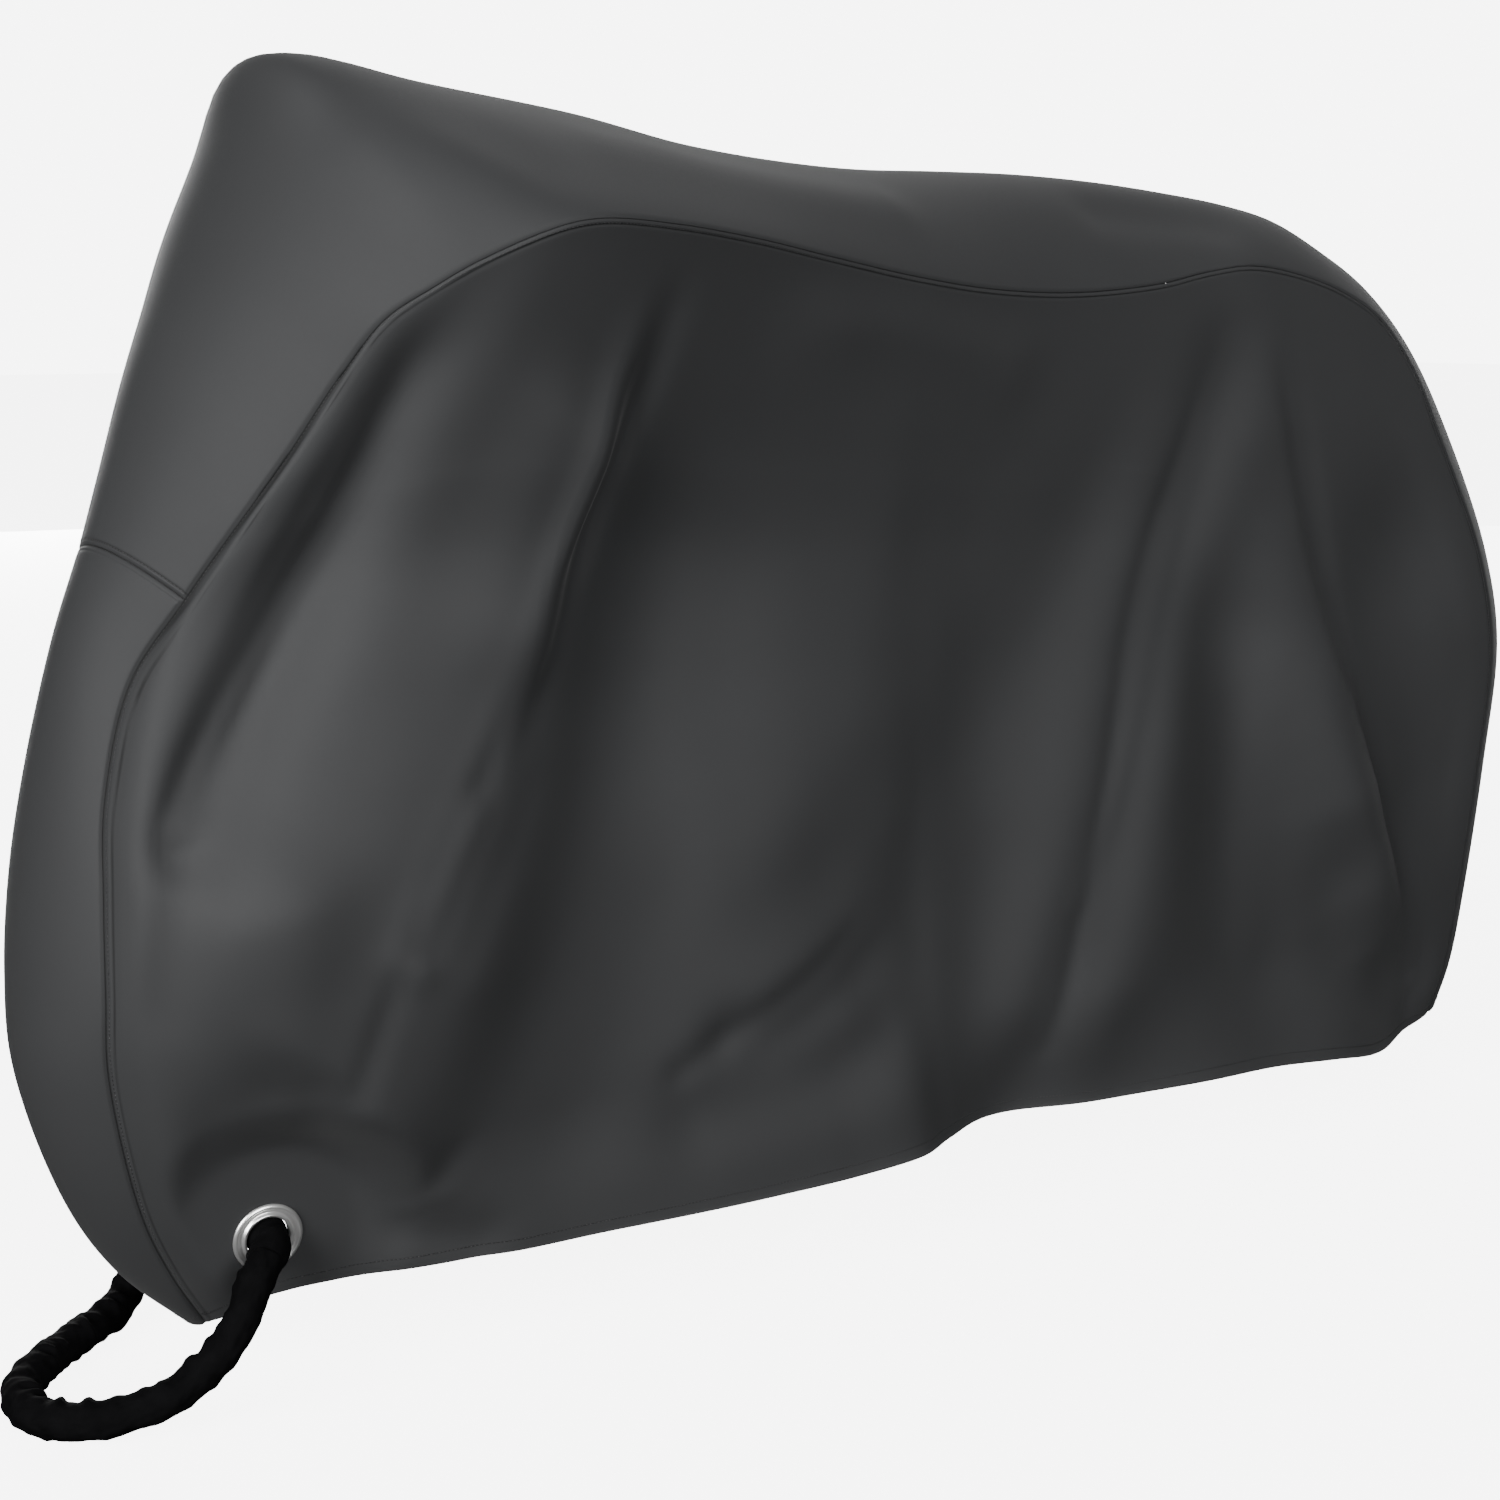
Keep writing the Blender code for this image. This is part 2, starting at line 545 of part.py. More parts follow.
def build_cover():
    """Clears the scene and builds every piece."""
    for item in list(bpy.data.objects):
        bpy.data.objects.remove(item, do_unlink=True)
    cut = Cut()
    gusset, normals = gusset_surface(cut.sections)
    add_panel("near_panel", cut, NEAR_FOLDS, -1, gusset, normals)
    add_panel("far_panel", cut, FAR_FOLDS, 1, gusset, normals)
    add_gussets(cut.cross_row, gusset, normals)
    add_eyelet("near_eyelet", -1)
    add_eyelet("far_eyelet", 1)
    add_sleeve()


build_cover()
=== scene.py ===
"""Looks of the fitted cover: draped cloth panels with sewn seams, rolled eyelets and a gathered sleeve."""
import math
import random
from collections import namedtuple

import bmesh
import bpy
import numpy as np
from mathutils import Matrix, Vector, noise


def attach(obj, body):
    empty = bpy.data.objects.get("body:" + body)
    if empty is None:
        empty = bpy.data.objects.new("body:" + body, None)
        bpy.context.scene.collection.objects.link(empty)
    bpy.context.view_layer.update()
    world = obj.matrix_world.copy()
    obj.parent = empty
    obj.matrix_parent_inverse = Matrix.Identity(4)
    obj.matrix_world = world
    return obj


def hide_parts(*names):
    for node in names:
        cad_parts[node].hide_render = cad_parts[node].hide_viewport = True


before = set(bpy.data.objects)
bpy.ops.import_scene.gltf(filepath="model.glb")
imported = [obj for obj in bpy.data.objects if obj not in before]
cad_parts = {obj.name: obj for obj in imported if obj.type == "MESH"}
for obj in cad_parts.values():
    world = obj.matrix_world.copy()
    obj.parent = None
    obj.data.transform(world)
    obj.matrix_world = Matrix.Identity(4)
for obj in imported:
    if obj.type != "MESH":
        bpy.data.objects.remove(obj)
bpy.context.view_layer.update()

# Sizes that repeat the solids'
CLOTH = 0.002             # thickness of the coated cloth with its hems and seams
GAP = 0.0003              # clearance between neighbouring pieces
REST_HEIGHT = 0.988       # from the floor of the tables to the underside of the top, at the origin
SEAM_CALM = 0.06          # the folds fade out this close to the long seams
EYELET_BORE = 0.0175      # radius of the eyelet's hole
EYELET_OUTER = 0.0285     # radius of the eyelet's rolled flange
EYELET_WALL = 0.0015      # thickness of its barrel
EYELET_ROLL = 0.0042      # how far the rolled flange stands off the cloth
EYELET_X = -1.043         # centre of the near eyelet, along the cover
EYELET_HEIGHT = 0.166
EYELET_HALF_WIDTH = 0.086
EYELET_TURN = 6.0         # degrees that the panel turns to the front there
EYELET_LEAN = 8.0         # degrees that it leans out with height
FLAT_RADIUS = 0.072       # the cloth is flat this far around an eyelet
FLAT_BLEND = 0.050        # and runs into the draped form over this width
FLAT_TO_SEAM = 0.030      # the flat fades out this close to the long seam
HEM_SHARE = 0.65          # below 1, the hem's half width is felt less far up the panel
HEM_CALM = 0.12           # the folds grow shallower this close to the hem
HEM_FOLD = 0.40           # share of a fold's rise that is left at the hem
FOLD_SWELL = 0.35         # share of a fold's length over which it rises from its top
SLEEVE_RADIUS = 0.0155    # the gathered sleeve over the lock
SLEEVE_INNER = 0.028      # how far inside the near eyelet the sleeve's ends meet
SLEEVE_OUTER = 0.012      # how far it runs straight out of an eyelet
SLEEVE_CLOSE = 0.020      # the straight run to its closing end
EYELET_CLEAR = 0.0006     # from the eyelet's bore to the sleeve that lies in it
CROWN_POWER = 1.8         # 1 gives the gusset a round section across, and 2 a shallower one
CURVE_STEPS = 12          # points to each span of a smooth line

# Sizes of the finer form
PITCH = 0.0075            # divisions of the cloth away from its seams
SEAM_LINES = [            # beside a seam they lie at these distances from it
    0.0, 0.0011, 0.0022, 0.0032, 0.0038, 0.0044, 0.0050, 0.0056, 0.0066, 0.0082, 0.011, 0.015,
]
STITCH_LINE = 5           # the topstitch follows this one of them
HEM_LINE = 10             # and a hem's stitches follow this one
GUSSET_ARC = 2.2          # the gusset's width over the straight way from its seam to its spine
ARC_POINTS = 181          # places at which its section is measured
SEAM_DIP = 0.0016         # the cloth turns in by this much at a seam
SEAM_ROLL = 0.0020        # and does so over this width
STITCH_AWAY = 0.0044      # the topstitch runs this far from the seam
STITCH_DIP = 0.0006       # depth of the groove that the thread pulls
STITCH_ROLL = 0.0010      # half width of that groove
STITCH_PITCH = 0.0034     # length of one stitch with the gap after it
STITCH_FILL = 0.74        # share of that length that shows thread
THREAD = 0.00032          # radius of the thread
HOLE_DEPTH = 0.03         # of the shape that cuts an eyelet's hole in the cloth
HOLE_SIDES = 72           # and its divisions
EYELET_SIDES = 96         # divisions round an eyelet
ROLL_STEPS = 6            # points to each span of its rolled flange
CLOTH_SHARP = 50.0        # degrees at which an edge of the cloth looks sharp
METAL_SHARP = 60.0        # and an edge of an eyelet
TURN_SLOPE = math.tan(math.radians(EYELET_TURN))
LEAN_SLOPE = math.tan(math.radians(EYELET_LEAN))

# Sizes of the sleeve's cloth
BORE_DROP = EYELET_BORE - SLEEVE_RADIUS - EYELET_CLEAR     # it lies this far below an eyelet's axis
SLEEVE_STEPS = 760        # divisions along the sleeve
SLEEVE_SIDES = 64         # and round it
GATHER_PITCH = 0.0190     # mean distance between its gathers
GATHER_WIDTH = 0.0058     # half width of one
GATHER_RISE = 0.0054      # the most that one stands out
GATHER_LEAN = 0.0060      # the most that one is tilted along the sleeve
GATHER_WAVE = 0.0016      # how far its ring wavers from a plane
GATHER_UNEVEN = 0.35      # share of its rise that comes and goes round the sleeve
GATHER_OUTER = 0.25       # share of its rise that is left on the outside of a bend
PITCH_SPREAD = (0.45, 1.45)   # least and most of one gather's pitch, over the mean
RISE_SPREAD = (0.35, 1.0)
WIDTH_SPREAD = (0.7, 1.35)
SEED = 7                  # of the gathers' random sizes
THROUGH_RADIUS = 0.012    # the sleeve's line lies in an eyelet this close to the eyelet's axis
THROUGH_REACH = 0.04      # and to its plane
BORE_FILL = 0.0169        # radius of the sleeve where it is bunched in an eyelet's bore
BUNCH_OUT = 0.004         # it is bunched from this far out of the cover
BUNCH_IN = 0.020          # to this far inside
BUNCH_BLEND = 0.006       # and grows to that radius over this length
FREE_FROM = 0.002         # its gathers begin this far out
FREE_BLEND = 0.030        # and are full after this length
CORE_IN = 0.97            # radius without gathers, over the sleeve's, inside the cover
CORE_OUT = 0.93           # and outside
CORE_SLIM = 0.0006        # it is less by this much where the gathers are full
DROOP = 0.0016            # the sleeve hangs below its line by this much
DROOP_REACH = 0.05        # up to this far out of an eyelet

# Colours and surfaces
WHITE = (1.0, 1.0, 1.0, 1.0)
CLOTH_COLOUR = (0.0185, 0.0190, 0.0198, 1.0)
METAL_COLOUR = (0.66, 0.66, 0.655)
SLEEVE_COLOUR = (0.0024, 0.0024, 0.0026)
THREAD_COLOUR = (0.010, 0.010, 0.0105)
WEAVE_PITCH = 0.0009      # from one thread of the weave to the next
GROOVE_SHADE_WIDTH = 0.0011       # painted shade is this wide along a seam and a row of stitches, where the cloth dips
GROOVE_SHADE_TONE = 0.35          # share of the cloth's tone that is left in the middle of that painted shade
ROUGH_SPREAD = 0.06       # how far a plain surface's roughness varies


def table(kind, rows):
    """The rows of a table, with its columns' names."""
    return [kind(*row) for row in rows]


# The outline: a row for each section, from the front hem over the top to the back hem.
Section = namedtuple("Section", "spine_x spine_height seam_x seam_height half_width")
OUTLINE = table(Section, [
    (-1.076, 0.076, -1.071, 0.081, 0.026),
    (-1.130, 0.128, -1.107, 0.136, 0.045),
    (-1.168, 0.190, -1.136, 0.197, 0.060),
    (-1.203, 0.305, -1.164, 0.313, 0.078),
    (-1.204, 0.375, -1.167, 0.377, 0.086),
    (-1.196, 0.458, -1.164, 0.450, 0.082),
    (-1.180, 0.545, -1.155, 0.522, 0.070),
    (-1.155, 0.640, -1.129, 0.609, 0.066),
    (-1.129, 0.705, -1.094, 0.669, 0.088),
    (-1.109, 0.760, -1.066, 0.717, 0.110),
    (-1.085, 0.830, -1.029, 0.778, 0.137),
    (-1.060, 0.890, -1.000, 0.832, 0.162),
    (-1.037, 0.945, -0.976, 0.871, 0.185),
    (-1.009, 1.008, -0.944, 0.896, 0.207),
    (-0.990, 1.062, -0.915, 0.914, 0.221),
    (-0.960, 1.073, -0.874, 0.933, 0.235),
    (-0.870, 1.058, -0.828, 0.945, 0.240),
    (-0.730, 1.040, -0.748, 0.943, 0.230),
    (-0.620, 1.020, -0.656, 0.934, 0.208),
    (-0.520, 1.009, -0.571, 0.922, 0.188),
    (-0.410, 1.003, -0.456, 0.906, 0.165),
    (-0.310, 1.004, -0.349, 0.896, 0.145),
    (-0.210, 1.004, -0.239, 0.894, 0.130),
    (-0.100, 0.999, -0.129, 0.902, 0.120),
    (0.000, REST_HEIGHT + CLOTH, -0.058, 0.914, 0.115),
    (0.062, 0.982, -0.004, 0.920, 0.115),
    (0.120, 0.970, 0.058, 0.915, 0.110),
    (0.178, 0.945, 0.136, 0.898, 0.105),
    (0.235, 0.915, 0.204, 0.870, 0.100),
    (0.309, 0.858, 0.262, 0.817, 0.098),
    (0.388, 0.762, 0.306, 0.750, 0.098),
    (0.468, 0.622, 0.388, 0.615, 0.095),
    (0.498, 0.520, 0.418, 0.515, 0.092),
    (0.484, 0.385, 0.404, 0.385, 0.092),
    (0.465, 0.250, 0.386, 0.250, 0.088),
    (0.449, 0.163, 0.379, 0.163, 0.079),
    (0.433, 0.112, 0.366, 0.113, 0.070),
])
FRONT_CORNER = 11         # the section where the panel's front edge turns into its top edge
BACK_CORNER = 29          # the section where its top edge turns into its back edge
CROSS_SEAM = 8            # the section of the seam between the two gussets
SEAM_COLUMNS = [2, 3, 4]  # what places the seam in a section
SEAM_POINT = [2, 4, 3]    # and the same as x, y and height

# The hem of a side panel, a row for each place between its front and back corners.
HemPoint = namedtuple("HemPoint", "x height half_width")
HEM = table(HemPoint, [
    (-1.060, 0.110, 0.070),
    (-1.023, 0.116, 0.082),
    (-0.983, 0.117, 0.090),
    (-0.900, 0.120, 0.120),
    (-0.828, 0.123, 0.140),
    (-0.749, 0.128, 0.155),
    (-0.602, 0.130, 0.165),
    (-0.518, 0.132, 0.170),
    (-0.443, 0.136, 0.170),
    (-0.393, 0.136, 0.145),
    (-0.329, 0.137, 0.120),
    (-0.196, 0.134, 0.135),
    (-0.010, 0.129, 0.155),
    (0.141, 0.114, 0.140),
    (0.255, 0.098, 0.110),
])

# Folds of a side panel: each follows a bend from its top over its middle to its foot. A rise stands
# out of the cover, and a negative one is a valley.
Fold = namedtuple("Fold", "top_x top_height mid_x mid_height foot_x foot_height reach rise")
NEAR_FOLDS = table(Fold, [
    (-1.023, 0.322, -1.077, 0.247, -1.057, 0.216, 0.048, -0.021),
    (-1.093, 0.529, -1.050, 0.382, -1.033, 0.238, 0.063, 0.028),
    (-0.920, 0.464, -0.917, 0.298, -0.991, 0.179, 0.071, 0.014),
    (-0.778, 0.832, -0.829, 0.752, -0.854, 0.648, 0.058, 0.018),
    (-0.734, 0.689, -0.812, 0.436, -0.946, 0.155, 0.062, -0.016),
    (-0.719, 0.873, -0.722, 0.464, -0.810, 0.166, 0.094, -0.016),
    (-0.458, 0.463, -0.489, 0.253, -0.674, 0.203, 0.050, -0.015),
    (-0.643, 0.851, -0.459, 0.880, -0.333, 0.830, 0.047, 0.005),
    (-0.085, 0.872, -0.264, 0.588, -0.525, 0.397, 0.067, -0.009),
    (0.020, 0.936, -0.143, 0.541, -0.289, 0.158, 0.045, -0.020),
    (-0.003, 0.759, -0.080, 0.510, -0.197, 0.293, 0.051, -0.008),
    (-0.025, 0.835, -0.078, 0.589, -0.260, 0.222, 0.095, 0.036),
    (-0.008, 0.774, -0.015, 0.448, 0.053, 0.152, 0.095, -0.036),
    (0.051, 0.750, 0.062, 0.537, 0.194, 0.316, 0.064, 0.016),
    (0.110, 0.659, 0.150, 0.444, 0.208, 0.219, 0.054, 0.014),
    (0.150, 0.397, 0.185, 0.227, 0.300, 0.125, 0.060, -0.029),
    (0.341, 0.706, 0.230, 0.568, 0.255, 0.389, 0.095, -0.024),
    (0.200, 0.658, 0.237, 0.423, 0.181, 0.292, 0.054, 0.006),
])
FAR_FOLDS = table(Fold, [
    (-0.930, 0.850, -1.010, 0.640, -1.110, 0.440, 0.036, -0.018),
    (-0.790, 0.870, -0.900, 0.620, -0.990, 0.330, 0.045, 0.020),
    (-0.680, 0.820, -0.740, 0.560, -0.800, 0.270, 0.050, -0.026),
    (-0.480, 0.800, -0.520, 0.520, -0.620, 0.280, 0.070, 0.022),
    (-0.300, 0.780, -0.330, 0.500, -0.370, 0.260, 0.050, -0.018),
    (-0.060, 0.860, -0.130, 0.580, -0.190, 0.270, 0.040, 0.020),
    (0.060, 0.840, 0.110, 0.560, 0.130, 0.260, 0.045, -0.018),
    (0.160, 0.700, 0.220, 0.470, 0.270, 0.250, 0.035, 0.014),
])

# Narrow creases that the finer form adds to the near panel. The broad row among them deepens the
# valley that has the same line in NEAR_FOLDS.
NEAR_CREASES = table(Fold, [
    (-0.961, 0.940, -1.032, 0.665, -1.155, 0.377, 0.029, -0.0140),
    (-1.015, 0.460, -1.028, 0.352, -1.019, 0.168, 0.034, -0.0054),
    (-1.038, 0.319, -1.018, 0.260, -1.010, 0.208, 0.012, -0.0053),
    (-0.935, 0.883, -1.018, 0.689, -1.140, 0.485, 0.009, -0.0035),
    (-0.927, 0.985, -1.007, 0.691, -1.121, 0.498, 0.031, -0.0216),
    (-0.961, 0.856, -1.002, 0.731, -1.112, 0.502, 0.016, 0.0139),
    (-0.935, 0.879, -0.990, 0.692, -1.139, 0.469, 0.009, -0.0020),
    (-0.939, 0.200, -0.955, 0.164, -0.876, 0.137, 0.023, -0.0180),
    (-0.859, 0.592, -0.948, 0.439, -1.007, 0.277, 0.010, -0.0030),
    (-0.879, 0.247, -0.918, 0.202, -0.949, 0.132, 0.014, -0.0035),
    (-0.816, 0.626, -0.857, 0.506, -0.918, 0.392, 0.019, -0.0016),
    (-0.755, 0.904, -0.842, 0.609, -0.955, 0.397, 0.020, 0.0171),
    (-0.780, 0.745, -0.834, 0.647, -0.896, 0.520, 0.011, -0.0045),
    (-0.726, 0.936, -0.793, 0.694, -0.950, 0.400, 0.017, -0.0148),
    (-0.719, 0.873, -0.722, 0.464, -0.810, 0.166, 0.094, -0.0100),
    (-0.634, 0.799, -0.679, 0.576, -0.671, 0.405, 0.030, 0.0013),
    (-0.455, 0.340, -0.606, 0.272, -0.645, 0.275, 0.031, -0.0105),
    (-0.484, 0.376, -0.542, 0.332, -0.696, 0.253, 0.014, -0.0035),
    (-0.434, 0.719, -0.475, 0.506, -0.680, 0.309, 0.043, -0.0024),
    (-0.018, 0.889, -0.165, 0.554, -0.268, 0.195, 0.010, -0.0025),
    (-0.036, 0.794, -0.144, 0.533, -0.237, 0.335, 0.010, 0.0015),
    (0.035, 0.608, 0.028, 0.450, 0.022, 0.248, 0.034, 0.0041),
    (0.037, 0.862, 0.080, 0.712, 0.143, 0.509, 0.009, -0.0027),
    (0.043, 0.900, 0.154, 0.537, 0.341, 0.160, 0.018, -0.0058),
    (0.155, 0.513, 0.233, 0.344, 0.310, 0.169, 0.010, -0.0053),
    (0.224, 0.302, 0.267, 0.218, 0.316, 0.139, 0.011, -0.0027),
])

# And those that it adds to the far panel
FAR_CREASES = table(Fold, [
    (-0.940, 0.900, -1.020, 0.700, -1.110, 0.500, 0.018, 0.0080),
    (-0.900, 0.880, -0.960, 0.640, -1.040, 0.400, 0.014, -0.0070),
    (-0.760, 0.880, -0.850, 0.600, -0.930, 0.330, 0.018, -0.0090),
    (-0.700, 0.700, -0.690, 0.480, -0.760, 0.250, 0.016, 0.0060),
    (-0.520, 0.620, -0.600, 0.400, -0.720, 0.240, 0.020, -0.0070),
    (-0.380, 0.560, -0.440, 0.400, -0.560, 0.280, 0.014, 0.0050),
    (-0.100, 0.880, -0.190, 0.560, -0.290, 0.210, 0.016, -0.0080),
    (0.010, 0.800, 0.020, 0.520, 0.050, 0.230, 0.020, 0.0070),
    (0.110, 0.840, 0.190, 0.560, 0.300, 0.220, 0.016, -0.0070),
])

# Folds of the gusset, each along a line between two places given by x, y and height.
GussetFold = namedtuple("GussetFold", "start end reach rise")
GUSSET_FOLDS = table(GussetFold, [
    ((-0.955, -0.110, 1.030), (-0.850, -0.200, 0.975), 0.040, -0.012),
    ((-0.760, -0.165, 1.000), (-0.450, -0.120, 0.965), 0.035, 0.008),
    ((-0.945, 0.110, 1.030), (-0.800, 0.180, 0.980), 0.045, -0.010),
    ((-0.160, -0.075, 0.965), (-0.020, -0.085, 0.960), 0.035, -0.008),
])

# The sleeve's places between the eyelets, from the near side round the front to the far side.
SleevePoint = namedtuple("SleevePoint", "x y height")
SLEEVE_LOOP = table(SleevePoint, [
    (-1.053, -0.108, 0.160),
    (-1.072, -0.124, 0.146),
    (-1.088, -0.131, 0.122),
    (-1.104, -0.130, 0.101),
    (-1.124, -0.123, 0.081),
    (-1.147, -0.112, 0.065),
    (-1.191, -0.090, 0.054),
    (-1.211, -0.070, 0.052),
    (-1.222, -0.043, 0.051),
    (-1.217, -0.005, 0.051),
    (-1.194, 0.030, 0.051),
    (-1.140, 0.078, 0.050),
    (-1.110, 0.100, 0.050),
    (-1.083, 0.120, 0.054),
    (-1.063, 0.136, 0.070),
    (-1.052, 0.139, 0.100),
    (-1.046, 0.130, 0.135),
    (-1.044, 0.116, 0.157),
])

# A stitch is a bead of thread. Each ring's place is a share of half its length, and the ring's width
# and height are in radii of the thread.
Ring = namedtuple("Ring", "place width height")
STITCH_RINGS = table(Ring, [
    (-1.0, 0.35, -0.5),
    (-0.6, 0.95, 0.25),
    (0.0, 1.0, 0.6),
    (0.6, 0.95, 0.25),
    (1.0, 0.35, -0.5),
])
SIDES = 4                 # of a ring

# Wrinkles between the gathers: their noise's scale round the sleeve and per metre, and their rise.
# The fine ones' scale round it is over the coarse ones'.
Wrinkle = namedtuple("Wrinkle", "around along rise")
COARSE = Wrinkle(1.3, 52, 0.0011)
FINE = Wrinkle(2.6, 150, 0.0006)

# The studio
FLOOR = -0.954            # the sleeve lies on it
FLOOR_SIZE = 30.0         # from its middle to its edge
FLOOR_TONE = 0.60
FLOOR_GLOW = 6.2          # keeps the pale floor as bright as the backdrop
BACKDROP = 7.0            # brightness of the backdrop to the camera
FILL = 0.01               # and of its light on the cover
CAMERA_PLACE = (-1.885, -1.8702, -0.106)
CAMERA_BEARING = 36.275   # from what it looks at, in degrees as for a light
CAMERA_RISE = 9.691
CAMERA_SENSOR = 36.0      # width in millimetres
CAMERA_LENS = 62.4
LIT_PLACE = (-0.4, 0.0, -0.4)

# Soft square lights that face the cover. Bearing and rise are in degrees, the bearing from the near
# side towards the front.
Light = namedtuple("Light", "name bearing rise distance size power")
LIGHTS = table(Light, [
    ("key", 68.0, 19.0, 8.0, 4.0, 1250.0),
    ("side", 12.0, 19.0, 8.0, 4.0, 820.0),
    ("back", 192.0, 4.0, 8.0, 4.0, 750.0),
    ("rear", 250.0, 3.0, 8.0, 4.0, 200.0),
    ("top", 225.0, 50.0, 7.0, 4.0, 110.0),
])


def smooth_line(rows, steps=CURVE_STEPS):
    """Points on a centripetal Catmull-Rom curve through the rows, with steps to each span."""
    rows = np.array(rows, dtype=float)
    rows = np.vstack([2 * rows[0] - rows[1], rows, 2 * rows[-1] - rows[-2]])
    knots = np.cumsum([0.0] + [np.linalg.norm(b - a) ** 0.5 for a, b in zip(rows, rows[1:])])
    points = []
    for i in range(1, len(rows) - 2):
        a, b, c, d = rows[i - 1:i + 3]
        ta, tb, tc, td = knots[i - 1:i + 3]
        for t in np.linspace(tb, tc, steps, endpoint=False):
            ab = ((tb - t) * a + (t - ta) * b) / (tb - ta)
            bc = ((tc - t) * b + (t - tb) * c) / (tc - tb)
            cd = ((td - t) * c + (t - tc) * d) / (td - tc)
            abc = ((tc - t) * ab + (t - ta) * bc) / (tc - ta)
            bcd = ((td - t) * bc + (t - tb) * cd) / (td - tb)
            points.append(((tc - t) * abc + (t - tb) * bcd) / (tc - tb))
    points.append(rows[-2])
    return np.array(points)


def lengths_along(points):
    """The length from a line's first point to each of its points."""
    steps = np.linalg.norm(np.diff(points, axis=0), axis=1)
    return np.concatenate([[0.0], np.cumsum(steps)])


def at_shares(points, shares, columns):
    """The points at shares, from 0 to 1, of the length that the given columns measure."""
    lengths = lengths_along(points[:, columns])
    return np.stack([np.interp(shares * lengths[-1], lengths, column) for column in points.T], axis=1)


def smooth_step(value):
    """Rises softly from 0 to 1 as the value does."""
    value = np.clip(value, 0.0, 1.0)
    return value * value * (3.0 - 2.0 * value)


def seam_shares(length, seams):
    """Shares of a length at even divisions, with closer ones beside each seam, given as a share."""
    near = SEAM_LINES[-1] / length
    clear = near + 0.3 * PITCH / length
    even = np.linspace(0.0, 1.0, max(4, round(length / PITCH)) + 1)
    kept = [share for share in even if all(abs(share - seam) > clear for seam in seams)]
    for seam in seams:
        for away in SEAM_LINES:
            kept += [seam + away / length, seam - away / length]
    return np.unique(np.round([share for share in kept if -1e-9 <= share <= 1 + 1e-9], 7))


def unit(vectors):
    """The vectors at length 1."""
    return vectors / np.linalg.norm(vectors, axis=-1, keepdims=True)


def cell_cross(grid):
    """Twice the area of each of a grid's cells, along the cell's normal."""
    return np.cross(grid[1:, 1:] - grid[:-1, :-1], grid[:-1, 1:] - grid[1:, :-1])


def grid_normals(grid):
    """Unit normals at a grid's points, by the right-hand rule from its first to its second index."""
    cross = unit(cell_cross(grid) + 1e-15)
    total = np.zeros_like(grid)
    total[:-1, :-1] += cross
    total[1:, :-1] += cross
    total[1:, 1:] += cross
    total[:-1, 1:] += cross
    return unit(total)


class Cut:
    """The cut's shares and its smooth sections, which the panels and the gussets have in common."""

    def __init__(self):
        line = smooth_line(OUTLINE)
        front = FRONT_CORNER * CURVE_STEPS
        back = BACK_CORNER * CURVE_STEPS
        runs = [line[:front + 1], line[front:back + 1], line[back:][::-1]]
        lengths = [lengths_along(run[:, SEAM_COLUMNS]) for run in runs]
        cross = lengths[0][CROSS_SEAM * CURVE_STEPS] / lengths[0][-1]
        self.high = seam_shares(lengths[0][-1], [0.0, cross, 1.0])
        self.long = seam_shares(lengths[1][-1], [0.0, 1.0])
        self.front = at_shares(runs[0], self.high, SEAM_COLUMNS)
        self.top = at_shares(runs[1], self.long, SEAM_COLUMNS)
        self.back = at_shares(runs[2], self.high, SEAM_COLUMNS)
        self.sections = np.vstack([self.front, self.top[1:], self.back[::-1][1:]])
        self.cross_row = int(np.argmin(np.abs(self.high - cross)))
        self.seam = self.sections[:, SEAM_POINT]


def line_distance(x, height, line):
    """Distance seen from the side from each point to a line, and the share of the line's length there."""
    nearest = np.full(x.shape, np.inf)
    along = np.zeros_like(x)
    lengths = lengths_along(line)
    for i, (start, end) in enumerate(zip(line, line[1:])):
        run = end - start
        part = ((x - start[0]) * run[0] + (height - start[1]) * run[1]) / (run @ run + 1e-18)
        part = np.clip(part, 0.0, 1.0)
        away = np.hypot(x - start[0] - part * run[0], height - start[1] - part * run[1])
        closer = away < nearest
        nearest = np.where(closer, away, nearest)
        here = (lengths[i] + part * (lengths[i + 1] - lengths[i])) / lengths[-1]
        along = np.where(closer, here, along)
    return nearest, along


def fold_offset(x, height, folds):
    """How far the folds push the cloth out at each point."""
    out = np.zeros_like(x)
    for fold in folds:
        bend = smooth_line([fold[0:2], fold[2:4], fold[4:6]], CURVE_STEPS // 2)
        nearest, along = line_distance(x, height, bend)
        out += fold.rise * smooth_step(along / FOLD_SWELL) * np.exp(-(nearest / fold.reach) ** 2)
    return out


def eyelet_plane(x, height):
    """Half width of the flat in which an eyelet sits."""
    return EYELET_HALF_WIDTH + (x - EYELET_X) * TURN_SLOPE + (height - EYELET_HEIGHT) * LEAN_SLOPE


def eyelet_normal(side):
    """Unit vector out of the cloth at an eyelet; side is -1 for near and 1 for far."""
    normal = np.array([-TURN_SLOPE, side, -LEAN_SLOPE])
    return normal / np.linalg.norm(normal)


def gusset_divisions(cut):
    """Shares of the gusset's width at its divisions across."""
    widths = []
    for spine_x, spine_height, seam_x, seam_height, half_width in cut.sections:
        half = np.array([(seam_x, -half_width, seam_height), (spine_x, 0.0, spine_height)])
        widths.append(lengths_along(half)[-1])
    return seam_shares(GUSSET_ARC * float(np.median(widths)), [0.0, 1.0])


